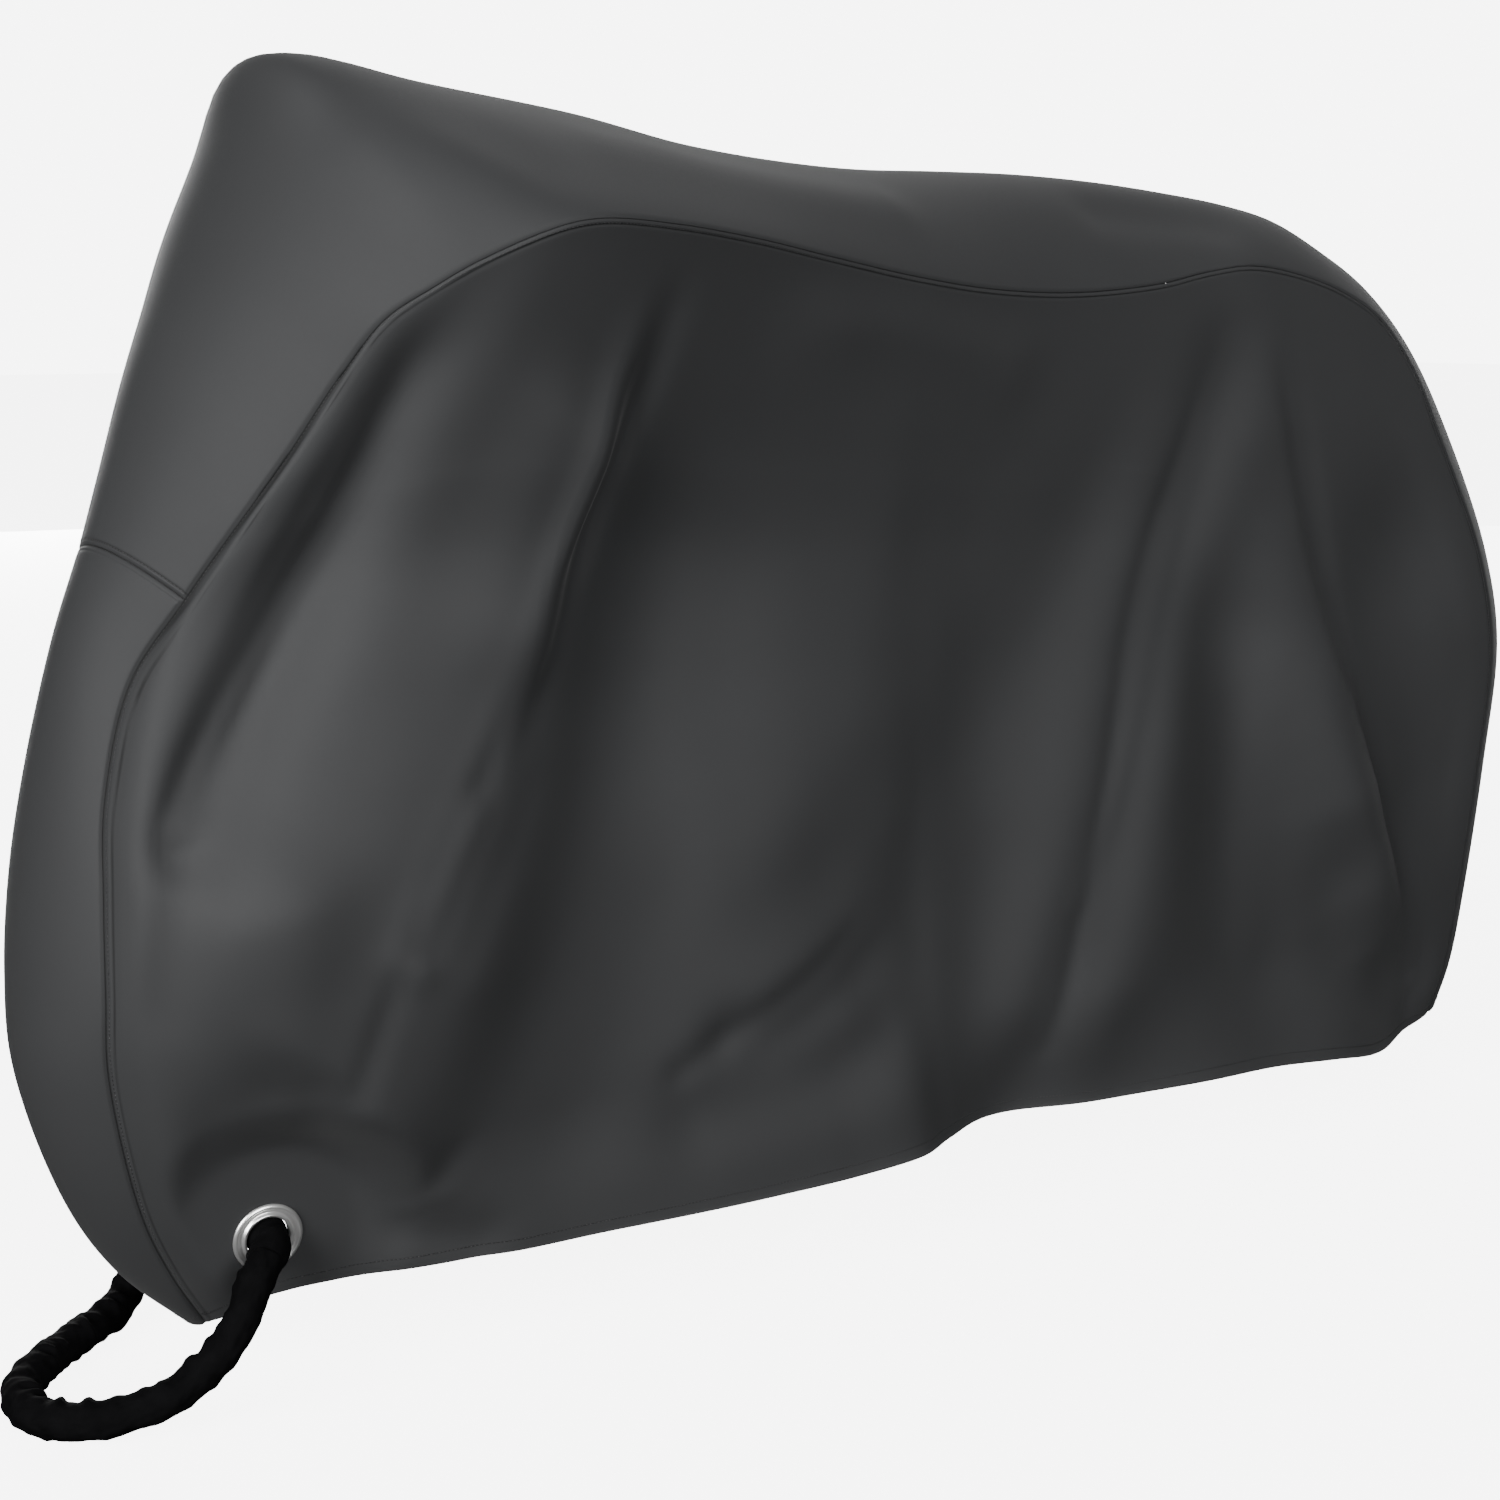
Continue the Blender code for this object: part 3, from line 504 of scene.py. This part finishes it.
def gusset_surface(cut, across):
    """Points [section, across] on the outside of the whole gusset, near side first."""
    angles = np.linspace(-math.pi / 2, math.pi / 2, ARC_POINTS)
    crown = np.cos(angles) ** CROWN_POWER
    grid = np.empty((len(cut.sections), len(across), 3))
    for i, row in enumerate(cut.sections):
        spine_x, spine_height, seam_x, seam_height, half_width = row
        arc = np.stack([seam_x + (spine_x - seam_x) * crown, half_width * np.sin(angles),
                        seam_height + (spine_height - seam_height) * crown], axis=1)
        grid[i] = at_shares(arc, across, [0, 1, 2])
    calm = np.sin(math.pi * across)[None, :, None]
    for fold in GUSSET_FOLDS:
        start, end = np.array(fold.start), np.array(fold.end)
        run = end - start
        part = np.clip((grid - start) @ run / (run @ run), 0.0, 1.0)
        away = np.linalg.norm(grid - start - part[:, :, None] * run, axis=2)
        out = fold.rise * np.exp(-(away / fold.reach) ** 2)
        grid = grid + calm * out[:, :, None] * grid_normals(grid)
    return grid


def panel_surface(cut, folds, side):
    """Grid of points [along, up] on the outside of a side panel, its share of the eyelet's flat, and
    each point's distance from the long seam."""
    front, top, back = (run[:, SEAM_POINT] for run in (cut.front, cut.top, cut.back))
    hem = [(point.x, point.half_width, point.height) for point in HEM]
    hem = at_shares(smooth_line([front[0]] + hem + [back[0]]), cut.long, [0, 1, 2])
    u = cut.long[:, None, None]
    v = cut.high[None, :, None] ** np.array([1.0, HEM_SHARE, 1.0])
    grid = (1 - v) * hem[:, None] + v * top[:, None] + (1 - u) * front[None] + u * back[None]
    grid -= (1 - v) * ((1 - u) * hem[0] + u * hem[-1]) + v * ((1 - u) * top[0] + u * top[-1])
    x, height = grid[:, :, 0].copy(), grid[:, :, 2].copy()
    distance, _ = line_distance(x, height, cut.seam[:, [0, 2]])
    to_hem, _ = line_distance(x, height, grid[:, 0][:, [0, 2]])
    calm = HEM_FOLD + (1 - HEM_FOLD) * smooth_step(to_hem / HEM_CALM)
    calm = smooth_step(distance / SEAM_CALM) * calm
    grid[:, :, 1] += calm * fold_offset(x, height, folds)
    away = np.hypot(x - EYELET_X, height - EYELET_HEIGHT)
    flat = smooth_step((FLAT_RADIUS + FLAT_BLEND - away) / FLAT_BLEND)
    flat *= smooth_step(distance / FLAT_TO_SEAM)
    grid[:, :, 1] += flat * (eyelet_plane(x, height) - grid[:, :, 1])
    grid[:, :, 1] *= side
    return grid, flat, distance


def seam_profile(distance, stitched):
    """How far the cloth turns in at a seam, and dips where a topstitch is pulled tight."""
    dip = SEAM_DIP * np.exp(-(distance / SEAM_ROLL) ** 2)
    if stitched:
        dip += STITCH_DIP * np.exp(-((distance - STITCH_AWAY) / STITCH_ROLL) ** 2)
    return dip


def seam_line(grid):
    """A panel grid's values up the front, along the top and down the back."""
    return np.concatenate([grid[0], grid[1:, -1], grid[-1, -2::-1]])


def set_seam_line(grid, line):
    """Writes values along the seam back to a panel's grid."""
    long, high = grid.shape[:2]
    grid[0] = line[:high]
    grid[1:, -1] = line[high:high + long - 1]
    grid[-1, -2::-1] = line[high + long - 1:]


def add_object(name, data):
    """An object with this data, linked to the scene."""
    item = bpy.data.objects.new(name, data)
    bpy.context.scene.collection.objects.link(item)
    return item


def link(name, mesh, material):
    """An object with a mesh and its material, linked to the scene."""
    mesh.materials.append(material)
    return add_object(name, mesh)


def sheet_piece(name, outside, normals, surface_uv, seam_uv, material):
    """A closed thin sheet whose outside follows the grid, with a map in metres and one of its seams."""
    inside = outside - normals * CLOTH
    rows, columns = outside.shape[:2]
    count = rows * columns
    points = np.concatenate([outside.reshape(-1, 3), inside.reshape(-1, 3)])
    points[:, 2] -= REST_HEIGHT
    index = np.arange(count).reshape(rows, columns)
    a, b = index[:-1, :-1].ravel(), index[1:, :-1].ravel()
    c, d = index[1:, 1:].ravel(), index[:-1, 1:].ravel()
    out = np.stack([a, b, c, d], axis=1)
    back = np.stack([d, c, b, a], axis=1) + count
    rim = np.concatenate([index[:, 0], index[-1, 1:], index[-2::-1, -1], index[0, -2:0:-1]])
    onward = np.roll(rim, -1)
    sides = np.stack([onward, rim, rim + count, onward + count], axis=1)
    faces = np.concatenate([out, back, sides])
    mesh = bpy.data.meshes.new(name)
    mesh.from_pydata(points, [], faces.tolist())
    for title, values in (("surface", surface_uv), ("seam", seam_uv)):
        layer = mesh.uv_layers.new(name=title)
        flat = np.tile(values.reshape(-1, 2), (2, 1))
        corners = np.empty(len(mesh.loops), dtype=np.int32)
        mesh.loops.foreach_get("vertex_index", corners)
        layer.data.foreach_set("uv", flat[corners].ravel())
    mesh.shade_smooth()
    mesh.set_sharp_from_angle(angle=math.radians(CLOTH_SHARP))
    return link(name, mesh, material)


def flat_area(grid):
    """Area of a grid's cells."""
    return float(0.5 * np.linalg.norm(cell_cross(grid), axis=2).sum())


def grid_map(grid):
    """Each point's place in metres along and across a grid, measured on the cloth."""
    along = np.linalg.norm(np.diff(grid, axis=0), axis=2).mean(axis=1)
    across = np.linalg.norm(np.diff(grid, axis=1), axis=2)
    result = np.zeros(grid.shape[:2] + (2,))
    result[1:, :, 0] = np.cumsum(along)[:, None]
    result[:, 1:, 1] = np.cumsum(across, axis=1)
    return result


def node_maker(owner):
    """Two short ways to set shader nodes: to fill a node's inputs, and to add a node with them."""
    tree = owner.node_tree

    def fill(node, **values):
        for key, value in values.items():
            if key.startswith("_"):
                setattr(node, key[1:], value)
                continue
            name = key.replace("__", " ")
            socket = node.inputs[int(name[1:])] if name[1:].isdigit() else node.inputs[name]
            if isinstance(value, bpy.types.NodeSocket):
                tree.links.new(value, socket)
            else:
                socket.default_value = value
        return node

    def add(kind, **values):
        return fill(tree.nodes.new("ShaderNode" + kind), **values)

    return fill, add


def new_material(name):
    """A material with its Principled shader, and the two ways to set its nodes."""
    material = bpy.data.materials.new(name)
    material.use_nodes = True
    return material, material.node_tree.nodes["Principled BSDF"], *node_maker(material)


def cloth_material():
    """Charcoal coated cloth: fine weave, soft sheen, faint handling marks, and painted shade in the
    grooves along its seams and stitches.
    """
    material, shader, fill, add = new_material("cover_cloth")
    place = add("TexCoord").outputs["Object"]
    surface = add("SeparateXYZ", Vector=add("UVMap", _uv_map="surface").outputs[0])
    lines = add("SeparateXYZ", Vector=add("UVMap", _uv_map="seam").outputs[0])
    broad = add("TexNoise", Vector=place, Scale=5.0, Detail=3.0, Roughness=0.5)
    tone = add("MapRange", Value=broad.outputs[0], To__Min=0.86, To__Max=1.14)
    weave = []
    for socket in surface.outputs[:2]:
        wave = add("Math", _operation="MULTIPLY", i0=socket, i1=2 * math.pi / WEAVE_PITCH)
        weave.append(add("Math", _operation="SINE", i0=wave.outputs[0]).outputs[0])
    cross = add("Math", _operation="MULTIPLY", i0=weave[0], i1=weave[1])
    grain = add("TexNoise", Vector=place, Scale=420.0, Detail=2.0)
    relief = add("Math", _operation="MULTIPLY_ADD", i0=cross.outputs[0], i1=0.5, i2=grain.outputs[0])
    bump = add("Bump", Strength=0.08, Distance=0.0004, Height=relief.outputs[0])
    # Painted shade: the cloth's colour is darkened along each seam and each row of stitches, standing in
    # for shade in the grooves there.
    for socket in lines.outputs[:2]:
        painted_groove_shade = add("MapRange", _interpolation_type="SMOOTHSTEP", Value=socket, From__Max=GROOVE_SHADE_WIDTH,
                   To__Min=GROOVE_SHADE_TONE, To__Max=1.0)
        tone = add("Math", _operation="MULTIPLY", i0=tone.outputs[0], i1=painted_groove_shade.outputs[0])
    colour = add("Mix", _data_type="RGBA", _blend_type="MULTIPLY", Factor=1.0, i6=CLOTH_COLOUR,
                 i7=tone.outputs[0])
    rough = add("MapRange", Value=grain.outputs[0], To__Min=0.64, To__Max=0.72)
    fill(shader, Base__Color=colour.outputs[2], Roughness=rough.outputs[0], Normal=bump.outputs[0],
         Sheen__Weight=0.04, Sheen__Roughness=0.45, Specular__IOR__Level=0.22)
    return material


def simple_material(name, colour, roughness, metallic, scale, depth, tint, specular=0.5):
    """A material with fine grain in its relief and a tint that varies softly."""
    material, shader, fill, add = new_material(name)
    place = add("TexCoord").outputs["Object"]
    grain = add("TexNoise", Vector=place, Scale=scale, Detail=4.0)
    broad = add("TexNoise", Vector=place, Scale=scale / 12, Detail=2.0)
    ramp = add("ValToRGB", Fac=broad.outputs[0])
    ends = ramp.color_ramp.elements
    for end, position, share in zip(ends, (0.3, 0.7), (1 - tint, 1 + tint)):
        end.position = position
        end.color = (*[part * share for part in colour], 1.0)
    rough = add("MapRange", Value=broad.outputs[0], To__Min=roughness - ROUGH_SPREAD,
                To__Max=roughness + ROUGH_SPREAD)
    bump = add("Bump", Strength=0.3, Distance=depth, Height=grain.outputs[0])
    fill(shader, Base__Color=ramp.outputs[0], Roughness=rough.outputs[0], Normal=bump.outputs[0],
         Metallic=metallic, Specular__IOR__Level=specular)
    return material


def stitch_row(points, faces, line, normals):
    """Adds a row of stitches along a line on the cloth: small bowed beads, pulled in at their ends."""
    lengths = lengths_along(line)
    count = int(lengths[-1] / STITCH_PITCH)
    marks = (np.arange(count) + 0.5) * lengths[-1] / count
    half = 0.5 * STITCH_PITCH * STITCH_FILL
    for mark in marks:
        start, end = (np.array([np.interp(mark + shift, lengths, column) for column in line.T])
                      for shift in (-half, half))
        up = unit(np.array([np.interp(mark, lengths, column) for column in normals.T]))
        onward = unit(end - start)
        across = np.cross(up, onward)
        first = len(points)
        for ring in STITCH_RINGS:
            middle = (start + end) / 2 + ring.place * (end - start) / 2 + up * THREAD * ring.height
            for turn in range(SIDES):
                angle = math.pi / 4 + turn * math.pi / 2
                away = math.cos(angle) * across + math.sin(angle) * up
                points.append(middle + THREAD * ring.width * away)
        last = len(points) - SIDES
        for ring in range(first, last, SIDES):
            for turn in range(SIDES):
                a, b = ring + turn, ring + (turn + 1) % SIDES
                faces.append((a, b, b + SIDES, a + SIDES))
        faces.append(tuple(range(first, first + SIDES))[::-1])
        faces.append(tuple(range(last, last + SIDES)))


def stitch_piece(name, rows, material):
    """One piece that holds rows of stitches, each given by its line and the normals there."""
    points, faces = [], []
    for line, normals in rows:
        stitch_row(points, faces, line, normals)
    points = np.array(points)
    points[:, 2] -= REST_HEIGHT
    mesh = bpy.data.meshes.new(name)
    mesh.from_pydata(points, [], faces)
    mesh.shade_smooth()
    return link(name, mesh, material)


def panel_rows(values):
    """A panel grid's values along its topstitch, from the front to the back, and along its hem's."""
    i = STITCH_LINE
    front = values[i, HEM_LINE:-i - 1]
    top = values[i:-i, -i - 1]
    back = values[-i - 1, -i - 2:HEM_LINE:-1]
    return np.concatenate([front, top, back]), values[i:-i, HEM_LINE]


def meet_at_seam(panel, out, gusset, normals, side):
    """Gives a panel and the gusset one rim direction along their seam, and leaves the gap between."""
    edge = -1 if side > 0 else 0
    shared = unit(seam_line(out) + normals[:, edge])
    along = unit(np.gradient(gusset[:, edge], axis=0))
    inward = -side * unit(np.cross(along, shared))
    set_seam_line(out, shared)
    set_seam_line(panel, seam_line(panel) + inward * GAP / 2)
    normals[:, edge] = shared
    gusset[:, edge] -= inward * GAP / 2


def panel_piece(name, panel, out, distance, side, material):
    """A side panel's cloth and its area."""
    place = grid_map(panel)
    hem_away = np.abs(place[:, :, 1] - SEAM_LINES[HEM_LINE])
    stitch_away = np.minimum(np.abs(distance - STITCH_AWAY), hem_away)
    # The seam map's distances place the painted shade along the seams and stitches.
    values = [panel, out, place, np.stack([stitch_away, distance], axis=2)]
    if side > 0:
        values = [value[::-1] for value in values]
    return sheet_piece(name + "_cloth", *values, material), flat_area(panel)


def gusset_pieces(row, gusset, normals, place, above, edge_away, material):
    """The cloth and the area of the two gussets, which part at the cross seam's row."""
    along = place[:, :, 0]
    stitch_away = np.minimum(np.abs(along - SEAM_LINES[HEM_LINE]),
                             np.abs(along[-1] - along - SEAM_LINES[HEM_LINE]))
    stitch_away = np.minimum(stitch_away, np.abs(above - STITCH_AWAY))
    # The seam map's distances place the painted shade along the seams and stitches.
    seam_map = np.stack([stitch_away, np.minimum(edge_away, np.abs(above))], axis=2)
    onward = unit(np.cross(np.gradient(gusset[row], axis=0), normals[row]))
    pieces = {}
    for name, part, rim, way in (("front_gusset", slice(0, row + 1), -1, -1),
                                 ("top_gusset", slice(row, None), 0, 1)):
        points = gusset[part].copy()
        points[rim] += way * onward * GAP / 2
        piece = sheet_piece(name + "_cloth", points, normals[part], place[part], seam_map[part], material)
        pieces[name] = (piece, flat_area(points))
    return pieces


def make_cloth(material):
    """The cloth of the side panels and the gussets with its area, and the rows of stitches on each."""
    cut = Cut()
    row = cut.cross_row
    gusset = gusset_surface(cut, gusset_divisions(cut))
    normals = grid_normals(gusset)
    gusset_place = grid_map(gusset)
    across = gusset_place[:, :, 1]
    edge_away = np.minimum(across, across[:, -1:] - across)
    panels = {}
    for name, folds, side in (("near_panel", NEAR_FOLDS + NEAR_CREASES, -1),
                              ("far_panel", FAR_FOLDS + FAR_CREASES, 1)):
        panel, flat, distance = panel_surface(cut, folds, side)
        out = -side * grid_normals(panel)
        out = unit(out + flat[:, :, None] * (eyelet_normal(side) - out))
        meet_at_seam(panel, out, gusset, normals, side)
        panel = panel - out * seam_profile(distance, True)[:, :, None]
        panels[name] = (panel, out, distance, side)
    steps = np.linalg.norm(np.diff(gusset, axis=0, prepend=gusset[:1]), axis=2)
    from_front = np.cumsum(steps, axis=0)
    above = from_front - from_front[row]
    dip = np.maximum(seam_profile(edge_away, False), seam_profile(np.abs(above), True))
    gusset = gusset - normals * dip[:, :, None]
    pieces = {name: panel_piece(name, *values, material) for name, values in panels.items()}
    pieces.update(gusset_pieces(row, gusset, normals, gusset_place, above, edge_away, material))
    rows = {name: list(zip(*map(panel_rows, values[:2]))) for name, values in panels.items()}
    edge = slice(STITCH_LINE, -STITCH_LINE)
    rows["top_gusset"] = [(gusset[place, edge], normals[place, edge])
                          for place in (row + STITCH_LINE, -HEM_LINE - 1)]
    rows["front_gusset"] = [(gusset[HEM_LINE, edge], normals[HEM_LINE, edge])]
    return rows, pieces


def eyelet_centre(side):
    """Centre of an eyelet on the cloth's outside."""
    return np.array([EYELET_X, side * EYELET_HALF_WIDTH, EYELET_HEIGHT - REST_HEIGHT])


def eyelet_matrix(side):
    """Places a shape on the cloth at an eyelet, with its own Z axis out of the cloth."""
    turn = Vector(eyelet_normal(side)).to_track_quat("Z", "Y").to_matrix().to_4x4()
    return Matrix.Translation(Vector(eyelet_centre(side))) @ turn


def cut_hole(piece, side):
    """Cuts the eyelet's hole in a panel."""
    shape = bmesh.new()
    radius = EYELET_BORE + EYELET_WALL + GAP
    bmesh.ops.create_cone(shape, cap_ends=True, segments=HOLE_SIDES, radius1=radius, radius2=radius,
                          depth=HOLE_DEPTH)
    shape.transform(eyelet_matrix(side))
    mesh = bpy.data.meshes.new("cutter")
    shape.to_mesh(mesh)
    shape.free()
    cutter = add_object("cutter", mesh)
    hole = piece.modifiers.new("hole", "BOOLEAN")
    hole.operation = "DIFFERENCE"
    hole.object = cutter
    graph = bpy.context.evaluated_depsgraph_get()
    result = bpy.data.meshes.new_from_object(piece.evaluated_get(graph), depsgraph=graph)
    piece.modifiers.clear()
    piece.data = result
    bpy.data.objects.remove(cutter)


def lathe(name, profile, steps, matrix, material):
    """A closed turned solid from a ring of (radius, height) points."""
    count = len(profile)
    points, faces = [], []
    for i in range(steps):
        angle = 2 * math.pi * i / steps
        points += [(r * math.cos(angle), r * math.sin(angle), z) for r, z in profile]
        onward = (i + 1) % steps * count
        for j in range(count):
            k = (j + 1) % count
            faces.append((i * count + j, onward + j, onward + k, i * count + k))
    mesh = bpy.data.meshes.new(name)
    mesh.from_pydata(points, [], faces)
    mesh.transform(matrix)
    mesh.shade_smooth()
    mesh.set_sharp_from_angle(angle=math.radians(METAL_SHARP))
    return link(name, mesh, material)


def make_eyelet(name, side, material):
    """A rolled eyelet with a raised rim round its bore, a shallow groove and a rounded outer edge."""
    washer = -CLOTH - GAP
    washer_outer = EYELET_OUTER - 0.0015
    barrel_outer = EYELET_BORE + EYELET_WALL
    roll = smooth_line([
        (EYELET_OUTER - 0.0010, GAP),
        (EYELET_OUTER, 0.30 * EYELET_ROLL),
        (EYELET_OUTER - 0.0006, 0.62 * EYELET_ROLL),
        (EYELET_OUTER - 0.0026, 0.86 * EYELET_ROLL),
        (EYELET_OUTER - 0.0050, 0.50 * EYELET_ROLL),
        (EYELET_BORE + 0.0044, 0.46 * EYELET_ROLL),
        (EYELET_BORE + 0.0022, EYELET_ROLL),
        (EYELET_BORE + 0.0004, 0.80 * EYELET_ROLL),
        (EYELET_BORE, 0.30 * EYELET_ROLL),
    ], ROLL_STEPS)
    profile = [
        (EYELET_BORE, washer - EYELET_WALL),
        (washer_outer, washer - EYELET_WALL),
        (washer_outer, washer),
        (barrel_outer, washer),
        (barrel_outer, GAP),
    ] + [tuple(point) for point in roll]
    return lathe(name, profile, EYELET_SIDES, eyelet_matrix(side), material)


def sleeve_route():
    """Points on the sleeve's line, from inside the near eyelet round to the same place."""
    def at_eyelet(side, offset):
        point = eyelet_centre(side) + offset * eyelet_normal(side)
        return (point[0], point[1], point[2] - BORE_DROP)

    loop = [(place.x, place.y, place.height - REST_HEIGHT) for place in SLEEVE_LOOP]
    start = -SLEEVE_INNER
    route = [at_eyelet(-1, offset) for offset in (start, start / 2, 0.0, SLEEVE_OUTER)]
    route += loop
    route += [at_eyelet(1, offset) for offset in (SLEEVE_OUTER, 0.0, start / 2, start)]
    route += [at_eyelet(-1, start - SLEEVE_CLOSE), at_eyelet(-1, start - GAP)]
    return smooth_line(route)


def gathers(along, turns, inner):
    """How far the sleeve's cloth stands out: uneven tilted rings, higher on the inside of the bends."""
    dice = random.Random(SEED)
    out = np.zeros((len(along), len(turns)))
    place = 0.0
    while place < along[-1]:
        place += GATHER_PITCH * dice.uniform(*PITCH_SPREAD)
        lean = dice.uniform(-GATHER_LEAN, GATHER_LEAN)
        phase = dice.uniform(0.0, 2 * math.pi)
        rise = GATHER_RISE * dice.uniform(*RISE_SPREAD)
        width = GATHER_WIDTH * dice.uniform(*WIDTH_SPREAD)
        away = along[:, None] - place - lean * np.cos(turns[None] - phase) \
            - GATHER_WAVE * np.cos(3 * turns[None] + 2 * phase)
        strength = (1 - GATHER_UNEVEN) + GATHER_UNEVEN * np.cos(2 * turns[None] - phase)
        out += rise * strength * np.exp(-(away / width) ** 2)
    return np.minimum(out, GATHER_RISE) * (GATHER_OUTER + (1 - GATHER_OUTER) * inner)


def directions_round(line, turns):
    """Unit vectors out of the sleeve's line at each turn round it, carried along without a twist."""
    tangents = unit(np.gradient(line, axis=0))
    side = unit(np.cross(tangents, [0.0, 0.0, 1.0]))
    for i in range(1, len(side)):
        turned = side[i - 1] - tangents[i] * (side[i - 1] @ tangents[i])
        side[i] = turned / np.linalg.norm(turned)
    up = np.cross(side, tangents)
    return np.cos(turns)[None, :, None] * side[:, None] + np.sin(turns)[None, :, None] * up[:, None]


def out_of_eyelets(line):
    """How far out of an eyelet each place of the sleeve's line is, and 1 away from the eyelets."""
    result = np.full(len(line), 1.0)
    for side in (-1, 1):
        centre, normal = eyelet_centre(side), eyelet_normal(side)
        offset = (line - centre) @ normal
        radial = np.linalg.norm(line - centre - offset[:, None] * normal, axis=1)
        through = (radial < THROUGH_RADIUS) & (np.abs(offset) < THROUGH_REACH)
        result = np.where(through, offset, result)
    return result


def add_wrinkles(radius, free, turns, lengths):
    """Adds small wrinkles to the sleeve's radius where its gathers are free."""
    for i in np.flatnonzero(free > 0.0):
        for j, turn in enumerate(turns):
            x, y = math.cos(turn) * COARSE.around, math.sin(turn) * COARSE.around
            coarse = noise.noise(Vector((x, y, lengths[i] * COARSE.along)))
            fine = noise.noise(Vector((x * FINE.around, y * FINE.around, lengths[i] * FINE.along)))
            radius[i, j] += free[i] * (COARSE.rise * coarse + FINE.rise * fine)


def make_sleeve(material):
    """The gathered sleeve: a tube of bunched cloth that droops out of the eyelets."""
    line = at_shares(sleeve_route(), np.linspace(0.0, 1.0, SLEEVE_STEPS + 1), [0, 1, 2])
    lengths = lengths_along(line)
    turns = 2 * math.pi * np.arange(SLEEVE_SIDES) / SLEEVE_SIDES
    away = directions_round(line, turns)
    out_of = out_of_eyelets(line)
    filled = smooth_step((BUNCH_OUT - out_of) / BUNCH_BLEND)
    filled *= smooth_step((out_of + BUNCH_IN) / BUNCH_BLEND)
    free = smooth_step((out_of - FREE_FROM) / FREE_BLEND)
    middle = line[out_of > FREE_BLEND].mean(axis=0)
    inner = 0.5 + 0.5 * np.einsum("ijk,ik->ij", away, unit(middle - line))
    core = SLEEVE_RADIUS * np.where(out_of < BUNCH_OUT, CORE_IN, CORE_OUT)
    core = core + filled * (BORE_FILL - core) - CORE_SLIM * free
    radius = core[:, None] + free[:, None] * gathers(lengths, turns, inner)
    add_wrinkles(radius, free, turns, lengths)
    droop = DROOP * free * smooth_step((DROOP_REACH - out_of) / FREE_BLEND)
    shift = filled * BORE_DROP - droop
    points = line[:, None] + radius[:, :, None] * away
    points[:, :, 2] += shift[:, None]
    index = np.arange(len(line) * SLEEVE_SIDES).reshape(len(line), SLEEVE_SIDES)
    onward = np.roll(index, -1, axis=1)
    faces = np.stack([index[:-1], onward[:-1], onward[1:], index[1:]], axis=2).reshape(-1, 4).tolist()
    faces.append(index[0][::-1].tolist())
    faces.append(index[-1].tolist())
    mesh = bpy.data.meshes.new("sleeve")
    mesh.from_pydata(points.reshape(-1, 3), [], faces)
    mesh.shade_smooth()
    return link("sleeve_gathered", mesh, material), line, float(lengths[-1])


def bearing_vector(bearing, rise):
    """Unit vector at a bearing from the near side towards the front and a rise, in degrees."""
    bearing, rise = math.radians(bearing), math.radians(rise)
    level = math.cos(rise)
    return Vector((-math.sin(bearing) * level, -math.cos(bearing) * level, math.sin(rise)))


def add_light(row):
    """A soft square light that faces the cover."""
    away = bearing_vector(row.bearing, row.rise)
    light = bpy.data.lights.new(row.name, "AREA")
    light.shape = "SQUARE"
    light.size = row.size
    light.energy = row.power
    item = add_object(row.name, light)
    item.location = Vector(LIT_PLACE) + away * row.distance
    item.rotation_euler = away.to_track_quat("Z", "Y").to_euler()


def make_stage():
    """The pale floor, the white backdrop, the soft lights and the camera of the photograph."""
    mesh = bpy.data.meshes.new("floor")
    corners = [(x * FLOOR_SIZE, y * FLOOR_SIZE, FLOOR) for x, y in ((-1, -1), (1, -1), (1, 1), (-1, 1))]
    mesh.from_pydata(corners, [], [(0, 1, 2, 3)])
    material, shader, fill, _ = new_material("floor")
    fill(shader, Base__Color=(FLOOR_TONE, FLOOR_TONE, FLOOR_TONE, 1.0), Roughness=0.9,
         Emission__Color=WHITE, Emission__Strength=FLOOR_GLOW)
    floor = link("floor", mesh, material)
    floor.visible_glossy = False
    floor.visible_diffuse = False
    world = bpy.data.worlds.new("studio")
    world.use_nodes = True
    fill, add = node_maker(world)
    seen = add("LightPath").outputs["Is Camera Ray"]
    strength = add("MapRange", Value=seen, To__Min=FILL, To__Max=BACKDROP)
    fill(world.node_tree.nodes["Background"], Color=WHITE, Strength=strength.outputs[0])
    bpy.context.scene.world = world
    for row in LIGHTS:
        add_light(row)
    camera = bpy.data.cameras.new("camera")
    camera.sensor_width = CAMERA_SENSOR
    camera.lens = CAMERA_LENS
    item = add_object("camera", camera)
    item.location = CAMERA_PLACE
    ahead = -bearing_vector(CAMERA_BEARING, CAMERA_RISE)
    item.rotation_euler = ahead.to_track_quat("-Z", "Y").to_euler()
    bpy.context.scene.camera = item


for item in [item for item in bpy.data.objects if item.type in ("LIGHT", "CAMERA")]:
    bpy.data.objects.remove(item)
make_stage()
cloth = cloth_material()
metal = simple_material("eyelet_metal", METAL_COLOUR, roughness=0.30, metallic=0.88, scale=400.0,
                        depth=0.00001, tint=0.05)
sleeve_cloth = simple_material("sleeve_cloth", SLEEVE_COLOUR, roughness=0.90, metallic=0.0, scale=900.0,
                               depth=0.0004, tint=0.2, specular=0.02)
thread = simple_material("stitch_thread", THREAD_COLOUR, roughness=0.55, metallic=0.0, scale=3000.0,
                         depth=0.00005, tint=0.2)
stitch_rows, pieces = make_cloth(cloth)
cut_hole(pieces["near_panel"][0], -1)
cut_hole(pieces["far_panel"][0], 1)
for node, (piece, _) in pieces.items():
    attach(piece, "root")
    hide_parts(node)
for node, rows in stitch_rows.items():
    piece = stitch_piece(node + "_stitches", rows, thread)
    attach(piece, "root")
for node, side in (("near_eyelet", -1), ("far_eyelet", 1)):
    piece = make_eyelet(node + "_rolled", side, metal)
    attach(piece, "root")
    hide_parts(node)
sleeve, path, length = make_sleeve(sleeve_cloth)
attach(sleeve, "root")
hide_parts("lock_sleeve")
